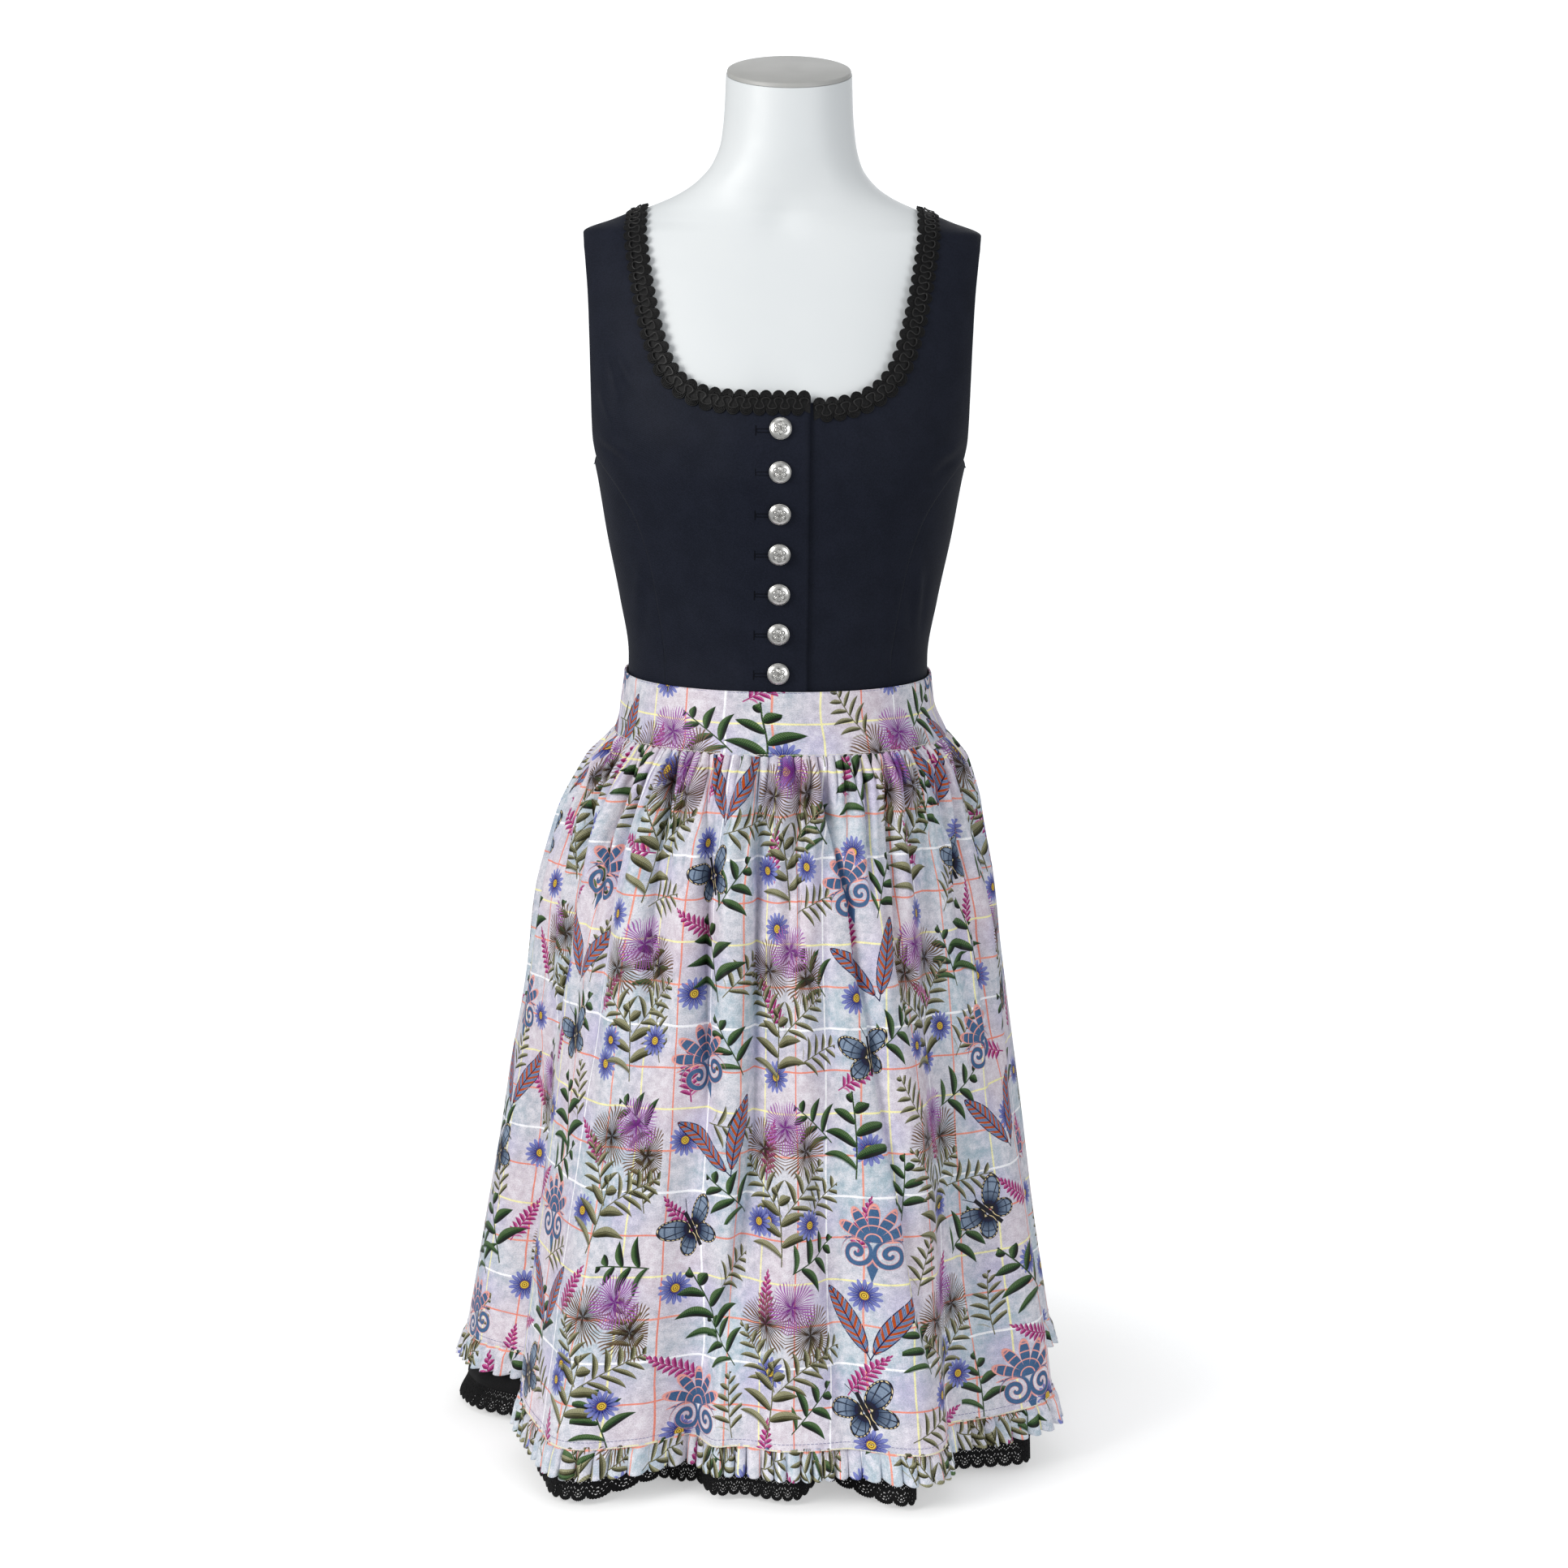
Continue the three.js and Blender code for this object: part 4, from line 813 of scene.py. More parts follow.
def skirt_point(angle, z, reach):
    """Points of the skirts at an angle and height, moved level away from the axis by reach."""
    s, c = np.sin(np.radians(angle)), -np.cos(np.radians(angle))
    power, half_width = curve(SKIRT, POWER, z), curve(SKIRT, HALF_WIDTH, z)
    depth = np.where(c < 0, curve(SKIRT, FRONT, z), curve(SKIRT, BACK, z))
    across = np.stack((np.sign(s) * np.abs(s) ** (2 - 2 / power) / half_width,
                       np.sign(c) * np.abs(c) ** (2 - 2 / power) / depth), -1)
    across /= np.linalg.norm(across, axis=-1)[:, None]
    x = curve(SKIRT, SHIFT, z) + half_width * np.sign(s) * np.abs(s) ** (2 / power)
    y = depth * np.sign(c) * np.abs(c) ** (2 / power)
    return np.stack((x + across[:, 0] * reach, y + across[:, 1] * reach, z + 0 * x), -1)


def skirt_reach(angle, z):
    """How far the black skirt stands off the envelope: in folds, gathered only at the back."""
    wave = np.cos(np.radians(angle * BACK_GATHERS) + 0.7 * np.sin(np.radians(angle * 5)))
    gather = wave * smooth(np.abs(angle), 90, 108) * smooth(-z, -571, -545) * (1 - smooth(-z, -480, -300))
    behind = (1 - smooth(np.abs(angle), 94, 106)) * smooth(z, 60, 120) * smooth(-z, -560, -530)
    return ((total(FOLDS, angle) - total(RECESSES, angle)) * growth(z)
            - mix(5, 7.5, smooth(-z, -560, -500)) + GATHER_DEPTH * gather - UNDER_APRON * behind)


black_cotton = dark_cloth("black_cotton", (0.0052, 0.0052, 0.0057), (0.0092, 0.0092, 0.0098), 0.8, 0.01)
lace_cotton, tree, shader = finish("lace_cotton", (0.009, 0.009, 0.0095), 0.8, Specular_IOR_Level=0.1)
thread = speckle(tree, 1300, 2)
colour_by(tree, shader, ramp(tree, thread, 0.3, 0.7), (0.003, 0.003, 0.0033), (0.0105, 0.0105, 0.011))
bump(tree, shader, thread, 0.5, 0.0004)
LACE_PITCH_COLUMNS, LACE_ROWS = 16, 20
HALF_ROUND = 90  # degrees that each half of the skirt goes to either side
# The lace's openings in one scallop: column and row of each, counted from the hem.
OPENINGS = {
    (2, 6), (4, 4), (6, 3), (7, 3), (9, 3), (11, 4), (13, 6), (5, 6), (7, 5), (8, 5), (10, 6),
    (3, 10), (4, 9), (7, 8), (8, 8), (11, 9), (12, 10), (0, 8), (15, 8), (1, 13), (3, 14), (5, 15),
    (7, 14), (9, 13), (11, 14), (13, 15), (15, 14), (2, 17), (6, 17), (10, 17), (14, 17),
}
for name, centre, scallops, width in (("front", 0, 86, 0.66), ("back", 180, 72, 0.62)):
    def wrapped(u, centre=centre):
        angle = centre + mix(-HALF_ROUND, HALF_ROUND, u)
        return np.where(angle > 180, angle - 360, angle)

    def hanging(u, v):
        angle, z = wrapped(u), mix(SKIRT_HEM, WAIST_SEAM - SEAM, v)
        return skirt_point(angle, z, skirt_reach(angle, z) + SKIRT_CLOTH)

    half = sheet(f"skirt_{name}_cloth", 240, 90, hanging, black_cotton, thick=SKIRT_WALL)
    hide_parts(f"skirt_{name}")

    def lace(u, v):
        angle = wrapped(u)
        along = (u * scallops) % 1
        picot = 0.35 + 0.35 * np.cos(np.pi * np.round(u * scallops * LACE_PITCH_COLUMNS))
        edge = LACE_HEM + 3.4 * (1 - np.sqrt(np.abs(np.sin(np.pi * along)))) + picot
        z = mix(edge, SKIRT_HEM + 0.6, v)
        flare = total(LACE_FLARES, angle) * (1 - smooth(z, LACE_HEM, SKIRT_HEM))
        return skirt_point(angle, z, skirt_reach(angle, np.minimum(z, SKIRT_HEM)) + flare + 1.6)

    edging = sheet(f"skirt_lace_{name}_threads", scallops * LACE_PITCH_COLUMNS, LACE_ROWS, lace, lace_cotton,
                   thick=LACE_WALL, holes=lambda column, row: (column % LACE_PITCH_COLUMNS, row) in OPENINGS)
    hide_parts(f"skirt_lace_{name}")

# ---- Apron cloth --------------------------------------------------------------------------------
# A soft satin, printed all over: a clouded lilac and grey-blue ground, thin checks in white, pale
# yellow and coral, and sprays of leaves and flowers. It is used for every piece of the apron.


def ink(red, green, blue):
    """A screen colour as linear light."""
    return (*(round(((value / 255 + 0.055) / 1.055) ** 2.4, 4) for value in (red, green, blue)), 1)


class Field:
    """A value in a shader tree that adds the Math nodes for what is reckoned with it."""

    def __init__(self, tree, socket):
        self.tree, self.socket = tree, socket

    def math(self, operation, *values):
        return Field(self.tree, calc(self.tree, operation, self.socket,
                                     *(getattr(value, "socket", value) for value in values)))

    def band(self, low, high, to_low=0.0, to_high=1.0):
        return Field(self.tree, ramp(self.tree, self.socket, low, high, to_low, to_high))

    def __add__(self, other):
        return self.math("ADD", other)

    def __sub__(self, other):
        return self.math("SUBTRACT", other)

    def __mul__(self, other):
        return self.math("MULTIPLY", other)

    def __truediv__(self, other):
        return self.math("DIVIDE", other)

    def __mod__(self, other):
        return self.math("FLOORED_MODULO", other)

    def __rsub__(self, other):
        return self * -1 + other

    def __abs__(self):
        return self.math("ABSOLUTE")

    __radd__, __rmul__ = __add__, __mul__


def motif(name):
    """A node group for a motif. Returns it with its x and y in mm and its two inks."""
    group = bpy.data.node_groups.new(name, "ShaderNodeTree")
    group.interface.new_socket("Vector", in_out="INPUT", socket_type="NodeSocketVector")
    for label in ("Ink", "Second Ink"):
        group.interface.new_socket(label, in_out="INPUT", socket_type="NodeSocketColor")
    group.interface.new_socket("Color", in_out="OUTPUT", socket_type="NodeSocketColor")
    group.interface.new_socket("Mask", in_out="OUTPUT", socket_type="NodeSocketFloat")
    given = node(group, "NodeGroupInput")
    split = node(group, "ShaderNodeSeparateXYZ", {0: given.outputs[0]})
    return group, Field(group, split.outputs[0]), Field(group, split.outputs[1]), *given.outputs[1:3]


def motif_out(group, colour, mask):
    out = node(group, "NodeGroupOutput")
    group.links.new(colour, out.inputs[0])
    group.links.new(mask.socket, out.inputs[1])
    return group


def frond(name, length, spacing, leaf, width, slant, bend):
    """A bent stem with curved leaves by turns on either side."""
    group, x, y, dark, light = motif(name)
    x = x - y * y * (bend / length)
    side = abs(x)
    base = y - side * slant + side * side * (0.45 / leaf)
    off = ((base / spacing + x.math("GREATER_THAN", 0) * 0.5) % 1 - 0.5) * spacing
    along = y / length * 2 - 0.7
    share = side / (leaf * (1.02 - along * along * 0.6)).math("MAXIMUM", 0.05)
    blade = share.math("SQRT") * (1 - share) * (2.2 * width) - abs(off)
    there = base.band(0.08 * length, 0.12 * length) * base.band(length, 0.97 * length)
    stem = side.band(0.9, 0.4) * y.band(0, 1) * y.band(length, length - 1)
    veins = ((side * 1.3 + abs(off) * 0.8) % 1.7).band(0.3, 0.9)
    shade = abs(off).band(0, 0.3) * off.band(-0.6 * width, 0.5 * width, 0.1, 1) * (0.55 + veins * 0.45)
    return motif_out(group, blend(group, shade.socket, dark, light),
                     (blade.band(-0.25, 0.25) * there).math("MAXIMUM", stem))


def aster(name, radius, petals):
    """A flower head seen from above, with a gold middle."""
    group, x, y, dark, light = motif(name)
    r = (x * x + y * y).math("SQRT")
    wave = abs((y.math("ARCTAN2", x) * (petals / 2)).math("COSINE"))
    parted = (wave * r).band(0.25, 1.1).math("MAXIMUM", r.band(0.4 * radius, 0.32 * radius))
    mask = (radius * (0.62 + 0.38 * wave) - r).band(-0.3, 0.3) * parted
    petal = blend(group, (r / radius + wave * 0.35).band(0.45, 1.15).socket, dark, light)
    gold = blend(group, (r % 1.6).band(0.2, 1.2).socket, ink(120, 84, 26), ink(228, 196, 92))
    return motif_out(group, blend(group, r.band(0.3 * radius, 0.25 * radius).socket, petal, gold), mask)


def tuft(name, radius, hairs):
    """A feathery seed head of fine hairs."""
    group, x, y, dark, light = motif(name)
    r = (x * x + y * y).math("SQRT") / radius
    turn = y.math("ARCTAN2", x)
    bend = (r * 7 + (turn * 4).math("SINE") * 2).math("SINE") * 2.2
    hair = ((turn * hairs + bend).math("SINE") + (turn * 5 + r * 3).math("SINE") * 0.35) * 0.5
    mask = (hair + 0.62 - r * 1.05).band(-0.06, 0.12) * r.band(1.02, 0.9)
    return motif_out(group, blend(group, (r + hair * 0.6).band(0.2, 0.9).socket, dark, light), mask)


def feather(name, length, width):
    """A bent feather, barred across with two colours."""
    group, x, y, dark, light = motif(name)
    x = x - y * y * (0.14 / length)
    side = abs(x)
    share = (y / length).math("MAXIMUM", 0).math("MINIMUM", 1)
    notch = ((y - side * 1.4) % 13).band(0, 1.0) * 0.9 + 0.1
    swell = (share * 3.1416).math("SINE").math("MAXIMUM", 0).math("POWER", 0.6)
    blade = swell * width * (0.6 + notch * 0.4) - side
    bars = ((y - side * 1.1) % 7).band(2.6, 3.4)
    barbs = ((y - side * 1.1) % 1.4).band(0.2, 0.8)
    filled = blend(group, bars.socket, light, blend(group, barbs.socket, dark, ink(128, 146, 176)))
    shaft = side.band(0.7, 0.3)
    rim = blade.band(1.2, 0.5).math("MAXIMUM", shaft)
    mask = (blade.band(-0.25, 0.25) * y.band(0, 0.5)).math("MAXIMUM", shaft * y.band(-8, -7) * y.band(1, 0))
    return motif_out(group, blend(group, rim.socket, filled, ink(40, 54, 82)), mask)


def scroll(name, size):
    """A mirrored ornament: a fan of rounded lobes over two spirals."""
    group, x, y, dark, light = motif(name)
    side = abs(x)
    up = y + 0.12 * size
    r = (x * x + up * up).math("SQRT") / size
    wave = abs((x.math("ARCTAN2", up) * 5.5).math("COSINE")).math("POWER", 0.6)
    fan = (0.3 + 0.62 * wave) - r
    fan = fan * up.band(-2, 0) + up.band(0, -2, 0, -1)
    sx, sy = side - 0.36 * size, y + 0.42 * size
    s = (sx * sx + sy * sy).math("SQRT")
    coil = abs(((s + sy.math("ARCTAN2", sx) * (0.11 * size / 3.1416)) / (0.22 * size)) % 1 - 0.5)
    spiral = coil.band(0.16, 0.24) * s.band(0.4 * size, 0.36 * size)
    drop = (0.16 * size - side * 1.3 - abs(y + 0.75 * size) * 0.45).band(-0.3, 0.4)
    mask = fan.band(-0.015, 0.03).math("MAXIMUM", spiral).math("MAXIMUM", drop)
    rings = (r * 5 % 1).band(0.8, 0.9) * up.band(0, 1)
    rib = (fan.band(0.12, 0.06) * fan.band(-0.02, 0.02)).math("MAXIMUM", rings)
    pale = rib.math("MAXIMUM", coil.band(0.3, 0.18) * s.band(0.42 * size, 0.38 * size))
    return motif_out(group, blend(group, pale.socket, dark, light), mask)


def butterfly(name, size):
    """A butterfly with open, veined wings."""
    group, x, y, dark, light = motif(name)
    side = abs(x)

    def wing(across, up, long, wide, tilt):
        c, s = math.cos(tilt), math.sin(tilt)
        dx, dy = side - across * size, y - up * size
        a, b = (dx * c + dy * s) / (long * size), (dy * c - dx * s) / (wide * size)
        return 1 - (a * a + b * b).math("SQRT")

    wings = wing(0.5, 0.3, 0.52, 0.3, 0.6).math("MAXIMUM", wing(0.34, -0.3, 0.36, 0.28, -0.8))
    body = (0.06 * size - side).math("MINIMUM", 0.55 * size - abs(y)).band(-0.3, 0.3)
    feeler = (abs(side - (y - 0.4 * size) * 0.45).band(0.6, 0.2)
              * y.band(0.45 * size, 0.5 * size) * y.band(0.9 * size, 0.85 * size))
    out = (side * side + y * y).math("SQRT") / size
    veins = abs((y.math("ARCTAN2", side) * 9).math("SINE")).band(0.3, 0.1)
    eyes = abs((out * 11).math("SINE")).band(0.35, 0.15) * wings.band(0.2, 0.35)
    rim = wings.band(0.26, 0.14)
    pale = blend(group, out.band(0.15, 0.75).socket, dark, light)
    drawn = rim.math("MAXIMUM", veins).math("MAXIMUM", body).math("MAXIMUM", eyes * 0.6)
    dots = wings.band(0.03, 0.07) * wings.band(0.14, 0.1) * abs((side * 0.9).math("SINE")).band(0.5, 0.8)
    colour = blend(group, drawn.socket, pale, dark)
    colour = blend(group, dots.socket, colour, ink(226, 206, 160))
    return motif_out(group, colour, wings.band(-0.02, 0.03).math("MAXIMUM", body).math("MAXIMUM", feeler))


FERN = frond("fern", 78, 12, 24, 3.6, 0.9, 0.16)
SPRIG = frond("sprig", 66, 17, 30, 5.2, 0.7, -0.12)
SPIKE = frond("spike", 56, 5.4, 9, 2.7, 0.9, 0.1)
ASTER, TUFT, FEATHER = aster("aster", 14, 15), tuft("tuft", 26, 46), feather("feather", 66, 8.5)
SCROLL, BUTTERFLY = scroll("scroll", 38), butterfly("butterfly", 34)
# Two inks for each kind of motif, dark and light
LEAF_INKS = (ink(30, 46, 42), ink(98, 118, 88))
OLIVE_INKS = (ink(52, 52, 42), ink(158, 156, 128))
SEPIA_INKS = (ink(66, 60, 46), ink(118, 98, 84))
PURPLE_INKS = (ink(110, 62, 120), ink(160, 104, 168))
PINK_INKS = (ink(120, 44, 88), ink(205, 110, 160))
BLUE_INKS = (ink(56, 60, 120), ink(128, 134, 190))
SLATE_INKS = (ink(38, 46, 66), ink(132, 146, 166))
RUST_INKS = (ink(66, 84, 130), ink(178, 92, 62))
CORAL_INKS = (ink(84, 108, 140), ink(232, 160, 150))
GROUND_INKS = (ink(166, 186, 198), ink(208, 193, 204))
CHECK = 122  # mm from each line of the checks to its repeat


def cells(tree, plan, width, height, turn, seed):
    """Half-drop cells: the place in the cell, turned by chance, and the cell's number, 0 to 3."""
    split = node(tree, "ShaderNodeSeparateXYZ", {0: plan})
    x, y = Field(tree, split.outputs[0]) / width, Field(tree, split.outputs[1]) / height
    column = x.math("FLOOR")
    y = y + (column % 2) * 0.5
    row = y.math("FLOOR")
    number = node(tree, "ShaderNodeCombineXYZ", {0: column.socket, 1: row.socket, 2: seed})
    chance = node(tree, "ShaderNodeTexWhiteNoise", {"Vector": number.outputs[0]}, noise_dimensions="3D")
    centred = node(tree, "ShaderNodeCombineXYZ", {0: ((x - column - 0.5) * width).socket,
                                                 1: ((y - row - 0.5) * height).socket})
    angle = (Field(tree, chance.outputs["Value"]) - 0.5) * math.radians(turn)
    turned = node(tree, "ShaderNodeVectorRotate", {"Vector": centred.outputs[0], "Angle": angle.socket},
                  rotation_type="Z_AXIS")
    return turned.outputs[0], (column + row * 2) % 4


def stamp(tree, below, place, group, at, turn, size, inks, where):
    """Prints a motif over a colour, at mm in the cell, turned in degrees."""
    local = node(tree, "ShaderNodeMapping", {"Vector": place, "Location": (*at, 0), "Scale": (size, size, 1),
                                            "Rotation": (0, 0, math.radians(turn))}, vector_type="TEXTURE")
    made = node(tree, "ShaderNodeGroup", node_tree=group)
    tree.links.new(local.outputs[0], made.inputs[0])
    made.inputs[1].default_value, made.inputs[2].default_value = inks
    return blend(tree, calc(tree, "MULTIPLY", made.outputs[1], where.socket), below, made.outputs[0])


def print_group():
    """The whole print. It takes a place on the cloth in metres and puts out its colour."""
    group = bpy.data.node_groups.new("apron_print", "ShaderNodeTree")
    group.interface.new_socket("Vector", in_out="INPUT", socket_type="NodeSocketVector")
    group.interface.new_socket("Color", in_out="OUTPUT", socket_type="NodeSocketColor")
    given = node(group, "NodeGroupInput").outputs[0]
    plan = node(group, "ShaderNodeVectorMath", {0: given, 1: (1 / MM, 1 / MM, 0)},
                operation="MULTIPLY").outputs[0]
    broad = Field(group, speckle(group, 16, 2, given))
    fine = Field(group, speckle(group, 150, 4, given, 0.7))
    grain = Field(group, speckle(group, 1300, 1, given))
    split = node(group, "ShaderNodeSeparateXYZ", {0: plan})
    x, y = (Field(group, split.outputs[axis]) + (broad - 0.5) * 4 for axis in (0, 1))
    wide, narrow = math.tau / CHECK, 2 * math.tau / CHECK
    blocks = (x * wide).math("SINE") * 0.25 + (y * wide + 1.2).math("SINE") * 0.25
    squares = (x * narrow + 2).math("SINE") * 0.2 - (y * narrow).math("SINE") * 0.2
    colour = blend(group, (blocks + fine * 0.6).band(-0.2, 0.85).socket, *GROUND_INKS)
    colour = blend(group, (squares + fine * 0.7).band(0.15, 0.95).socket, colour, ink(190, 184, 212))
    colour = blend(group, (fine * 1.2 - squares * 0.3 + broad * 0.4).band(0.55, 1.15, 0, 0.75).socket, colour,
                   ink(222, 220, 226))
    for field in (x, y):
        for offset, half, tint in ((0, 0.66, (246, 246, 250)), (30.5, 0.45, (230, 140, 124)),
                                   (61, 0.52, (242, 236, 176)), (91.5, 0.52, (232, 152, 136))):
            line = abs((field + offset) % CHECK - CHECK / 2).band(half + 0.3, half)
            colour = blend(group, (line * fine.band(0.2, 0.5, 0.5, 1)).socket, colour, ink(*tint))
    # small motifs, one in each cell
    place, kind = cells(group, plan, 43, 54, 150, 3)
    first, second, third, fourth = (kind.math("COMPARE", index, 0.5) for index in range(4))
    for motif_kind, at, turn, size, inks, where in (
        (SPRIG, (0, -27), 8, 0.76, LEAF_INKS, first),
        (ASTER, (2, 4), 0, 0.86, BLUE_INKS, second),
        (FERN, (2, -25), -14, 0.66, OLIVE_INKS, third),
        (SPIKE, (0, -22), 6, 0.82, PINK_INKS, fourth),
    ):
        colour = stamp(group, colour, place, motif_kind, at, turn, size, inks, where)
    # large sprays over them, of which some are mirrored
    place, kind = cells(group, plan, 78, 128, 46, 8)
    mirror = node(group, "ShaderNodeVectorMath", {0: place}, operation="ABSOLUTE")
    across = node(group, "ShaderNodeSeparateXYZ", {0: mirror.outputs[0]})
    level = node(group, "ShaderNodeSeparateXYZ", {0: place})
    paired = node(group, "ShaderNodeCombineXYZ", {0: across.outputs[0], 1: level.outputs[1]}).outputs[0]
    first, second, third, fourth = (kind.math("COMPARE", index, 0.5) for index in range(4))
    sprays = (first + third).math("MINIMUM", 1)
    for spot, motif_kind, at, turn, size, inks, where in (
        (paired, TUFT, (19, 25), 20, 0.9, SEPIA_INKS, sprays),
        (paired, FERN, (1, -22), -36, 0.74, OLIVE_INKS, sprays),
        (place, SPRIG, (0, -58), 0, 0.9, OLIVE_INKS, sprays),
        (paired, ASTER, (22, -28), 0, 0.8, BLUE_INKS, first),
        (place, TUFT, (0, 42), 0, 0.8, PURPLE_INKS, sprays),
        (place, SCROLL, (0, 28), 0, 0.8, CORAL_INKS, second),
        (paired, FEATHER, (2, -58), -26, 0.85, RUST_INKS, second),
        (place, BUTTERFLY, (-8, 28), 28, 0.76, SLATE_INKS, fourth),
        (place, SPRIG, (12, -60), 16, 0.98, LEAF_INKS, fourth),
    ):
        colour = stamp(group, colour, spot, motif_kind, at, turn, size, inks, where)
    toned = node(group, "ShaderNodeMix", {0: 1.0, 6: colour}, data_type="RGBA", blend_type="MULTIPLY")
    shade = (grain * 0.6 + fine * 0.4).band(0.3, 0.7, 0.8, 1.16)
    grey = node(group, "ShaderNodeCombineXYZ", dict.fromkeys(range(3), shade.socket))
    group.links.new(grey.outputs[0], toned.inputs[7])
    colour = node(group, "ShaderNodeBrightContrast", {"Color": toned.outputs[2], "Bright": 0.035,
                                                      "Contrast": 0.19}).outputs[0]
    group.links.new(colour, node(group, "NodeGroupOutput").inputs[0])
    return group


PRINT = print_group()


def printed_cloth(name, width, length, start=(0.0, 0.0)):
    """The print on a piece whose UV map covers width by length metres of cloth."""
    made, tree, shader = finish(name, (0.49, 0.46, 0.53), 0.55, Sheen_Weight=0.1, Sheen_Roughness=0.35,
                                Specular_IOR_Level=0.3)
    spread = node(tree, "ShaderNodeMapping", {"Location": (*start, 0), "Scale": (width, length, 1)})
    tree.links.new(node(tree, "ShaderNodeTexCoord").outputs["UV"], spread.inputs["Vector"])
    height, tone = twill(tree, THREADS, spread.outputs[0])
    printed = node(tree, "ShaderNodeGroup", node_tree=PRINT)
    tree.links.new(spread.outputs[0], printed.inputs[0])
    worn = node(tree, "ShaderNodeMix", {0: ramp(tree, tone, 0.3, 0.7, 0.0, 0.22), 6: printed.outputs[0],
                                       7: (1, 1, 1, 1)}, data_type="RGBA", blend_type="SOFT_LIGHT")
    tree.links.new(worn.outputs[2], shader.inputs["Base Color"])
    bump(tree, shader, height, 0.3, 0.00025)
    return made


# ---- Apron --------------------------------------------------------------------------------------
# A straight length gathered into a stitched band, with a narrow ruffle along its lower edge. The
# band's ties meet at the back in a knot with two tails.

GATHERS, MIDDLE_GATHERS, LARGE_GATHERS, RUFFLE_WAVES = 76, 37, 19, 92
APRON_REACH = 108  # degrees to either side
BAND_BOTTOM, BAND_TOP, BAND_DROP, BAND_THICK = 546, 593.5, 4, 1.8
RUFFLE_HEIGHT, HEM_MIDDLE, HEM_RISE = 20, 24, 15
TIE_HALF_HEIGHT, TIE_END = 13, 177
TAIL_TOP, TAIL_BOTTOM, TAIL_WIDTH, TAIL_LIFT = 562, 215, 30, 3.2


def apron_angle(u):
    return mix(-APRON_REACH, APRON_REACH, u)


def band_drop(angle):
    return BAND_DROP * np.cos(np.radians(angle))


def ruffle_hem(angle):
    """The height of the ruffle's lower edge, which rises towards the sides."""
    return HEM_MIDDLE + HEM_RISE * smooth(np.abs(angle), 42, 72)


def middle_folds(angle, z):
    rounds = 0.96 * np.cos(np.radians(angle * 40)) + 0.64 * np.cos(np.radians(angle * 23 + 50))
    return rounds * smooth(-z, -535, -470) * (1 - smooth(-z, -430, -200))


def band_surface(u, v):
    angle = apron_angle(u)
    z = mix(BAND_BOTTOM, BAND_TOP, v) - band_drop(angle)
    edge = 0.5 * (1 - smooth(v, 0, 0.04)) + 0.4 * (1 - smooth(1 - v, 0, 0.04))
    ripple = 0.25 * np.sin(9 * v + 60 * u) * np.sin(31 * u + 1)
    return skirt_point(angle, z, BAND_THICK - edge + ripple)


# Valleys between the gathers: how strong and how wide (degrees) each is, and where it runs, as
# degrees round from the centre front and height.
VALLEY_DEPTH, RIDGE_LEAN = 2.1, 0.3  # mm and degrees for a strength of 1
VALLEYS = [
    (3.2, 2.2, [(-53, 545), (-48.5, 501), (-49, 481), (-46.5, 430), (-44, 380)]),
    (3.8, 2.4, [(-75.5, 541), (-66, 513), (-60.5, 481), (-59, 445), (-60, 381), (-69.5, 303)]),
    (3.8, 2.2, [(-35, 543), (-32, 501), (-30.5, 445), (-29, 385), (-27, 330)]),
    (3.2, 1.8, [(-22, 545), (-20.5, 515), (-18, 483), (-15.5, 353), (-13, 250)]),
    (5.0, 2.8, [(-7, 545), (-3.5, 447), (-3.5, 359), (-3.5, 269), (-6, 190), (-9.5, 121), (-11, 60)]),
    (2.6, 1.6, [(4.5, 545), (7, 447), (8, 380)]),
    (4.2, 1.9, [(10.5, 545), (12, 517), (16, 483), (19.5, 439), (20.5, 395), (23, 349), (25.5, 259),
                (27, 213), (28.5, 145), (31, 87)]),
    (2.2, 2.4, [(25, 545), (26, 509), (25.5, 453), (27, 400)]),
    (4.0, 1.9, [(33, 545), (31.5, 509), (31.5, 471), (32, 451), (30.5, 393), (33, 330)]),
    (2.8, 2.0, [(47.5, 545), (46, 509), (47, 491), (45, 440)]),
    (4.2, 2.2, [(54, 545), (52.5, 511), (53.5, 491), (55, 473), (54, 437), (56.5, 405), (57, 333),
                (55, 260)]),
    (3.4, 2.6, [(84, 545), (84, 505), (82, 460), (84, 400)]),
    (3.2, 2.6, [(70, 545), (70, 500), (72, 440), (73, 340)]),
    (3.2, 2.6, [(-88, 545), (-87, 500), (-85, 440), (-86, 360)]),
    (2.8, 3.4, [(-80, 330), (-74, 231), (-73, 129), (-66, 40)]),
    (2.6, 3.0, [(-36, 340), (-32, 297), (-31.5, 209), (-29, 93)]),
    (2.4, 2.6, [(8, 300), (11.5, 213), (14.5, 123), (15.5, 47)]),
    (2.4, 3.0, [(42, 320), (44, 230), (47, 130), (50, 60)]),
    (2.2, 3.0, [(64, 300), (67, 200), (66, 110), (69, 50)]),
]


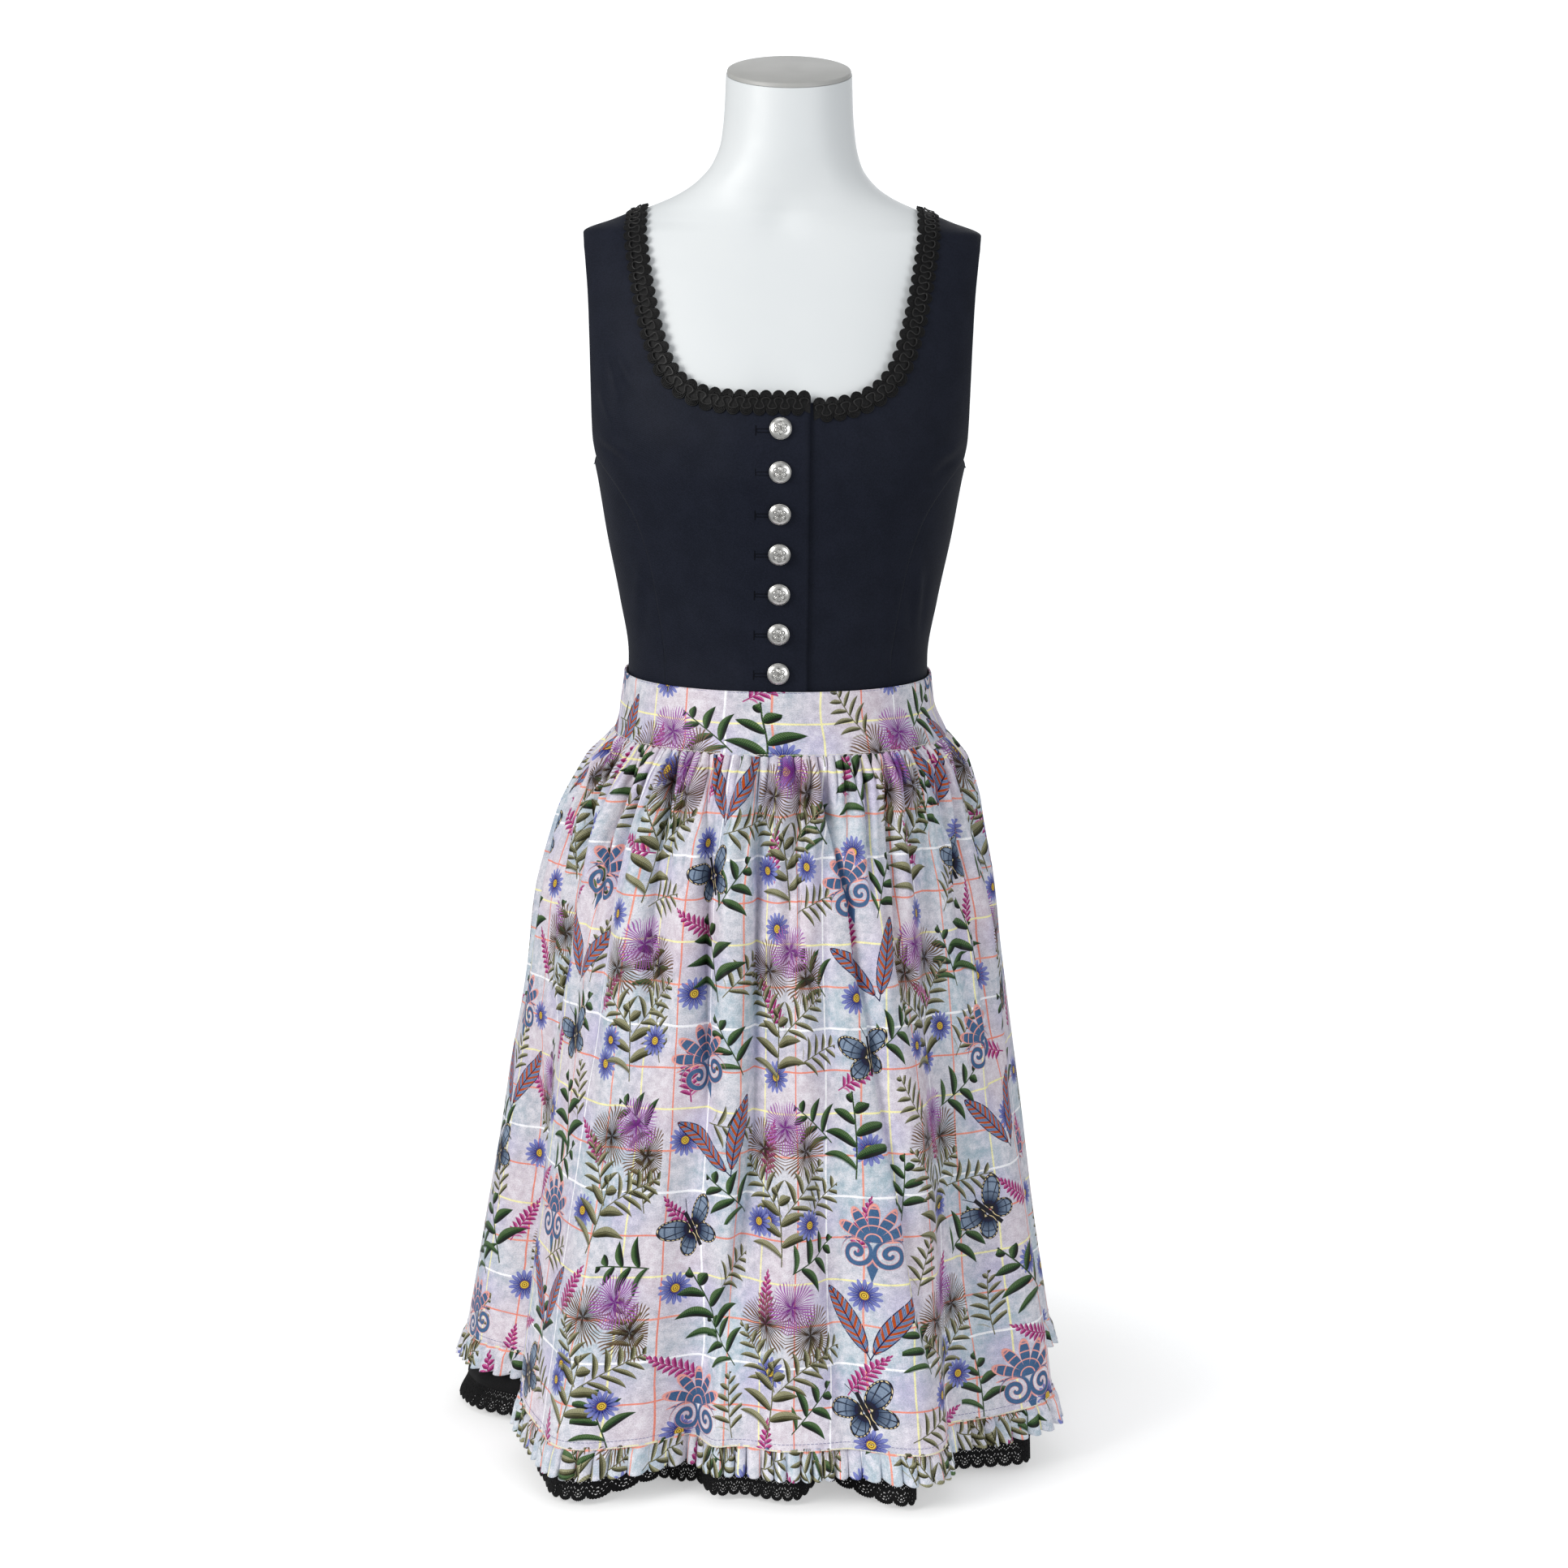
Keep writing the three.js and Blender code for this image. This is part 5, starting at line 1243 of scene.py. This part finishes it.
def valleys(angle, z):
    """How far the valleys and their ridges move the cloth out, and how far the ridges lean over."""
    out, lean = 0 * angle, 0 * angle
    for strength, width, line in VALLEYS:
        middles, heights = zip(*line[::-1])
        off = (angle - np.interp(z, heights, middles)) / (width * mix(1, 1.5, smooth(-z, -520, -300)))
        fade = smooth(z, heights[0] - 10, heights[0] + 70) * smooth(-z, -BAND_BOTTOM, -525)
        if heights[-1] < 540:  # it starts below the band
            fade = fade * (1 - smooth(z, heights[-1] - 60, heights[-1] + 10))
        steep = np.where(off < 0, 2.2, 0.8)
        groove = np.exp(-np.abs(off * steep) ** 1.5)
        ridges = 0.45 * np.exp(-((off + 1.9) / 1.1) ** 2) + 0.35 * np.exp(-((off - 2.4) / 1.6) ** 2)
        out -= VALLEY_DEPTH * strength * fade * (groove - ridges)
        lean += RIDGE_LEAN * strength * fade * np.exp(-((off + 0.85) / 0.75) ** 2)
    return out, lean


def pleats(phase):
    """Round ridges between sharp valleys, from -1 to 1."""
    return 2 * np.abs(np.sin(phase / 2)) ** 1.05 - 1


def apron_surface(u, v):
    angle = apron_angle(u)
    fallen = 1 - v
    z = mix(BAND_BOTTOM - band_drop(angle) + 2, ruffle_hem(angle) + RUFFLE_HEIGHT, fallen)
    turn = math.tau * u
    phase = GATHERS * turn + 1.1 * np.sin(7 * turn + 1) + 0.7 * np.sin(19 * turn)
    middle = pleats(MIDDLE_GATHERS * turn + 1.3 * np.sin(5 * turn + 2) + 0.9 * np.sin(13 * turn))
    large = pleats(LARGE_GATHERS * turn + 1.2 * np.sin(4 * turn) + 0.8 * np.sin(9 * turn + 2))
    gathers = 2.7 * pleats(phase) * mix(0.6, 1, smooth(fallen, 0, 0.015)) * (1 - smooth(fallen, 0.02, 0.1))
    gathers += 3.1 * middle * smooth(fallen, 0.01, 0.05) * (1 - smooth(fallen, 0.08, 0.26))
    gathers += 3.0 * large * smooth(fallen, 0.04, 0.12) * (1 - smooth(fallen, 0.22, 0.6))
    gathers -= 2.2 * (1 - smooth(fallen, 0, 0.012))
    valley, lean = valleys(angle, z)
    lean -= 0.3 * np.sin(phase) * (1 - smooth(fallen, 0.02, 0.1))
    reach = total(FOLDS, angle) * growth(z) + middle_folds(angle, z) + gathers + valley
    return skirt_point(angle + lean, z, reach + SKIRT_CLOTH - 0.5)


def ruffle_surface(u, v):
    angle, turn = apron_angle(u), math.tau * u
    z = mix(ruffle_hem(angle), ruffle_hem(angle) + RUFFLE_HEIGHT + 2, v)
    phase = RUFFLE_WAVES * turn + 0.8 * np.sin(11 * turn) + 0.5 * np.sin(29 * turn + 1)
    wave = mix(4.2, 1.5, v**0.8) * pleats(phase) * (1 + 0.3 * np.sin(17 * turn))
    valley, lean = valleys(angle, z + 22)
    lean -= 0.3 * np.sin(phase) * mix(1, 0.5, v)
    reach = total(FOLDS, angle) * growth(z) + valley + wave + SKIRT_CLOTH - 2.2 * smooth(v, 0.6, 1)
    return skirt_point(angle + lean, z - 1.2 * (1 - v) * pleats(phase), reach)


def tie_surface(side):
    """A tie that narrows from the band's end to the knot."""
    def surface(u, v):
        angle = mix(APRON_REACH + 0.2, TIE_END, u)
        half_height = mix(0.5 * (BAND_TOP - BAND_BOTTOM), TIE_HALF_HEIGHT, smooth(u, 0, 1))
        middle = 0.5 * (BAND_BOTTOM + BAND_TOP) - band_drop(angle)
        crease = 0.6 * np.sin(11 * v + 3 * u) * smooth(u, 0.2, 1)
        return skirt_point(side * angle, middle + mix(-half_height, half_height, v), SKIRT_CLOTH + crease)

    return surface


def tail_surface(side):
    """A tail that comes out under the knot, passes over the tie and hangs on the skirt."""
    def surface(u, v):
        fallen = 1 - v
        z = mix(TAIL_TOP, TAIL_BOTTOM, fallen)
        per_degree = curve(SKIRT, BACK, z) * np.pi / 180
        across = 0.8 + 8.7 * fallen + u * mix(0.42, 1, smooth(fallen, 0, 0.2)) * TAIL_WIDTH
        over_tie = TAIL_LIFT * (1 - smooth(fallen, 0.02, 0.09))
        angle = side * (180 - across / per_degree)
        fold = 0.9 * np.sin(7 * u + 2 * fallen) * smooth(fallen, 0, 0.05)
        return skirt_point(angle, z, total(FOLDS, angle) * growth(z) + SKIRT_CLOTH + over_tie + fold)

    return surface


FRONT_HALF, BACK_HALF = "skirt_front_cloth", "skirt_back_cloth"
TIE, TAIL = (0.125, 0.04), (0.03, 0.36)
pieces = [
    # CAD node, columns, rows, surface, wall, cut and its place on the print (m), hold, support
    ("apron_band", 220, 24, band_surface, 1.5, (0.425, 0.048), (0.37, 0.22), "stretched", FRONT_HALF),
    ("apron_skirt", 900, 104, apron_surface, 0, (0.98, 0.5), (0.0, 0.0), "gathered", FRONT_HALF),
    ("apron_ruffle", 1008, 12, ruffle_surface, 0.6, (1.75, 0.0195), (1.11, 0.44), "gathered", FRONT_HALF),
    ("apron_tie_right", 80, 16, tie_surface(-1), 1.2, TIE, (0.37, 0.0), "stretched", BACK_HALF),
    ("apron_tie_left", 80, 16, tie_surface(1), 1.2, TIE, (0.0, 0.66), "stretched", BACK_HALF),
    ("apron_tail_right", 20, 120, tail_surface(-1), 1.2, TAIL, (0.74, 0.11), "hung", BACK_HALF),
    ("apron_tail_left", 20, 120, tail_surface(1), 1.2, TAIL, (0.37, 0.0), "hung", BACK_HALF),
]
for replaced, columns, rows, surface, wall, cut, start, held, support in pieces:
    name = replaced + "_cloth"
    cloth = sheet(name, columns, rows, surface, printed_cloth(name + "_print", *cut, start), thick=wall)
    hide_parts(replaced)


def seam_line(along, reach):
    """Points on the apron along a level line: along gives the height for an angle."""
    angle = np.linspace(-APRON_REACH + 0.4, APRON_REACH - 0.4, 1300)
    z = along(angle)
    lean = valleys(angle, z)[1] if z[0] < 200 else 0
    return skirt_point(angle + lean, z, reach(angle, z))


def dashes(line, length, gap):
    """Cuts a line into stitches."""
    run = np.concatenate(([0], np.cumsum(np.linalg.norm(np.diff(line, axis=0), axis=1))))
    starts = np.arange(gap, run[-1] - length, length + gap)
    share = np.array((0, 0.2, 0.8, 1)) * length
    return [np.stack([np.interp(start + share, run, line[:, k]) for k in range(3)], -1) for start in starts]


def apron_reach(angle, z):
    """How far the ungathered lower part of the apron stands off the envelope."""
    return total(FOLDS, angle) * growth(z) + valleys(angle, z)[0] + middle_folds(angle, z) + SKIRT_CLOTH - 0.5


def stitched(name, along, reach, stitch, gap, radius, thread):
    """A row of stitches, given by the height and the reach for an angle."""
    stitches = cords(name, dashes(seam_line(along, reach), stitch, gap), radius, thread)


thread_pale = finish("thread_pale", ink(232, 228, 214)[:3], 0.6)[0]
thread_lilac = finish("thread_lilac", ink(128, 128, 164)[:3], 0.6)[0]
stitched("apron_ruffle_seam", lambda angle: ruffle_hem(angle) + RUFFLE_HEIGHT,
         lambda angle, z: apron_reach(angle, z) + 0.1, 2.6, 0.3, 0.4, thread_pale)
stitched("apron_hem_stitches", lambda angle: ruffle_hem(angle) + RUFFLE_HEIGHT + 5,
         lambda angle, z: apron_reach(angle, z) + 0.05, 2.2, 0.9, 0.22, thread_lilac)
stitched("apron_band_stitches", lambda angle: BAND_BOTTOM + 1.3 - band_drop(angle),
         lambda angle, z: BAND_THICK - 0.25 + 0 * z, 2.0, 0.6, 0.26, thread_pale)
stitched("apron_band_edge", lambda angle: BAND_TOP - 1.0 - band_drop(angle),
         lambda angle, z: BAND_THICK - 0.3 + 0 * z, 2.2, 0.9, 0.2, thread_lilac)

KNOT_HALF_WIDTH, KNOT_HALF_HEIGHT, KNOT_DEPTH, KNOT_Z = 20.5, 18, 14, 571
# Share of the run over the knot's outline, and there its size and depth as shares
KNOT = [
    (0, 0, 0), (0.06, 0.68, 0.02), (0.3, 0.97, 0.28), (0.62, 0.96, 0.66), (0.82, 0.74, 0.88),
    (0.94, 0.42, 0.97), (1, 0, 1),
]
knot_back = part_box("apron_knot")[0].y / MM


def knot_surface(u, v):
    turn = math.tau * u
    stops, sizes, depths = zip(*KNOT)
    size, depth = np.interp(v, stops, sizes), np.interp(v, stops, depths)
    wrap = 1 + 0.05 * np.sin(6 * turn + 5 * v)
    return np.stack((KNOT_HALF_WIDTH * size * wrap * np.sin(turn), knot_back + KNOT_DEPTH * depth,
                     KNOT_Z + KNOT_HALF_HEIGHT * size * wrap * np.cos(turn)), -1)


knot_print = printed_cloth("apron_knot_print", 0.12, 0.05)
knot = sheet("apron_knot_cloth", 48, 30, knot_surface, knot_print, closed=True)
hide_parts("apron_knot")
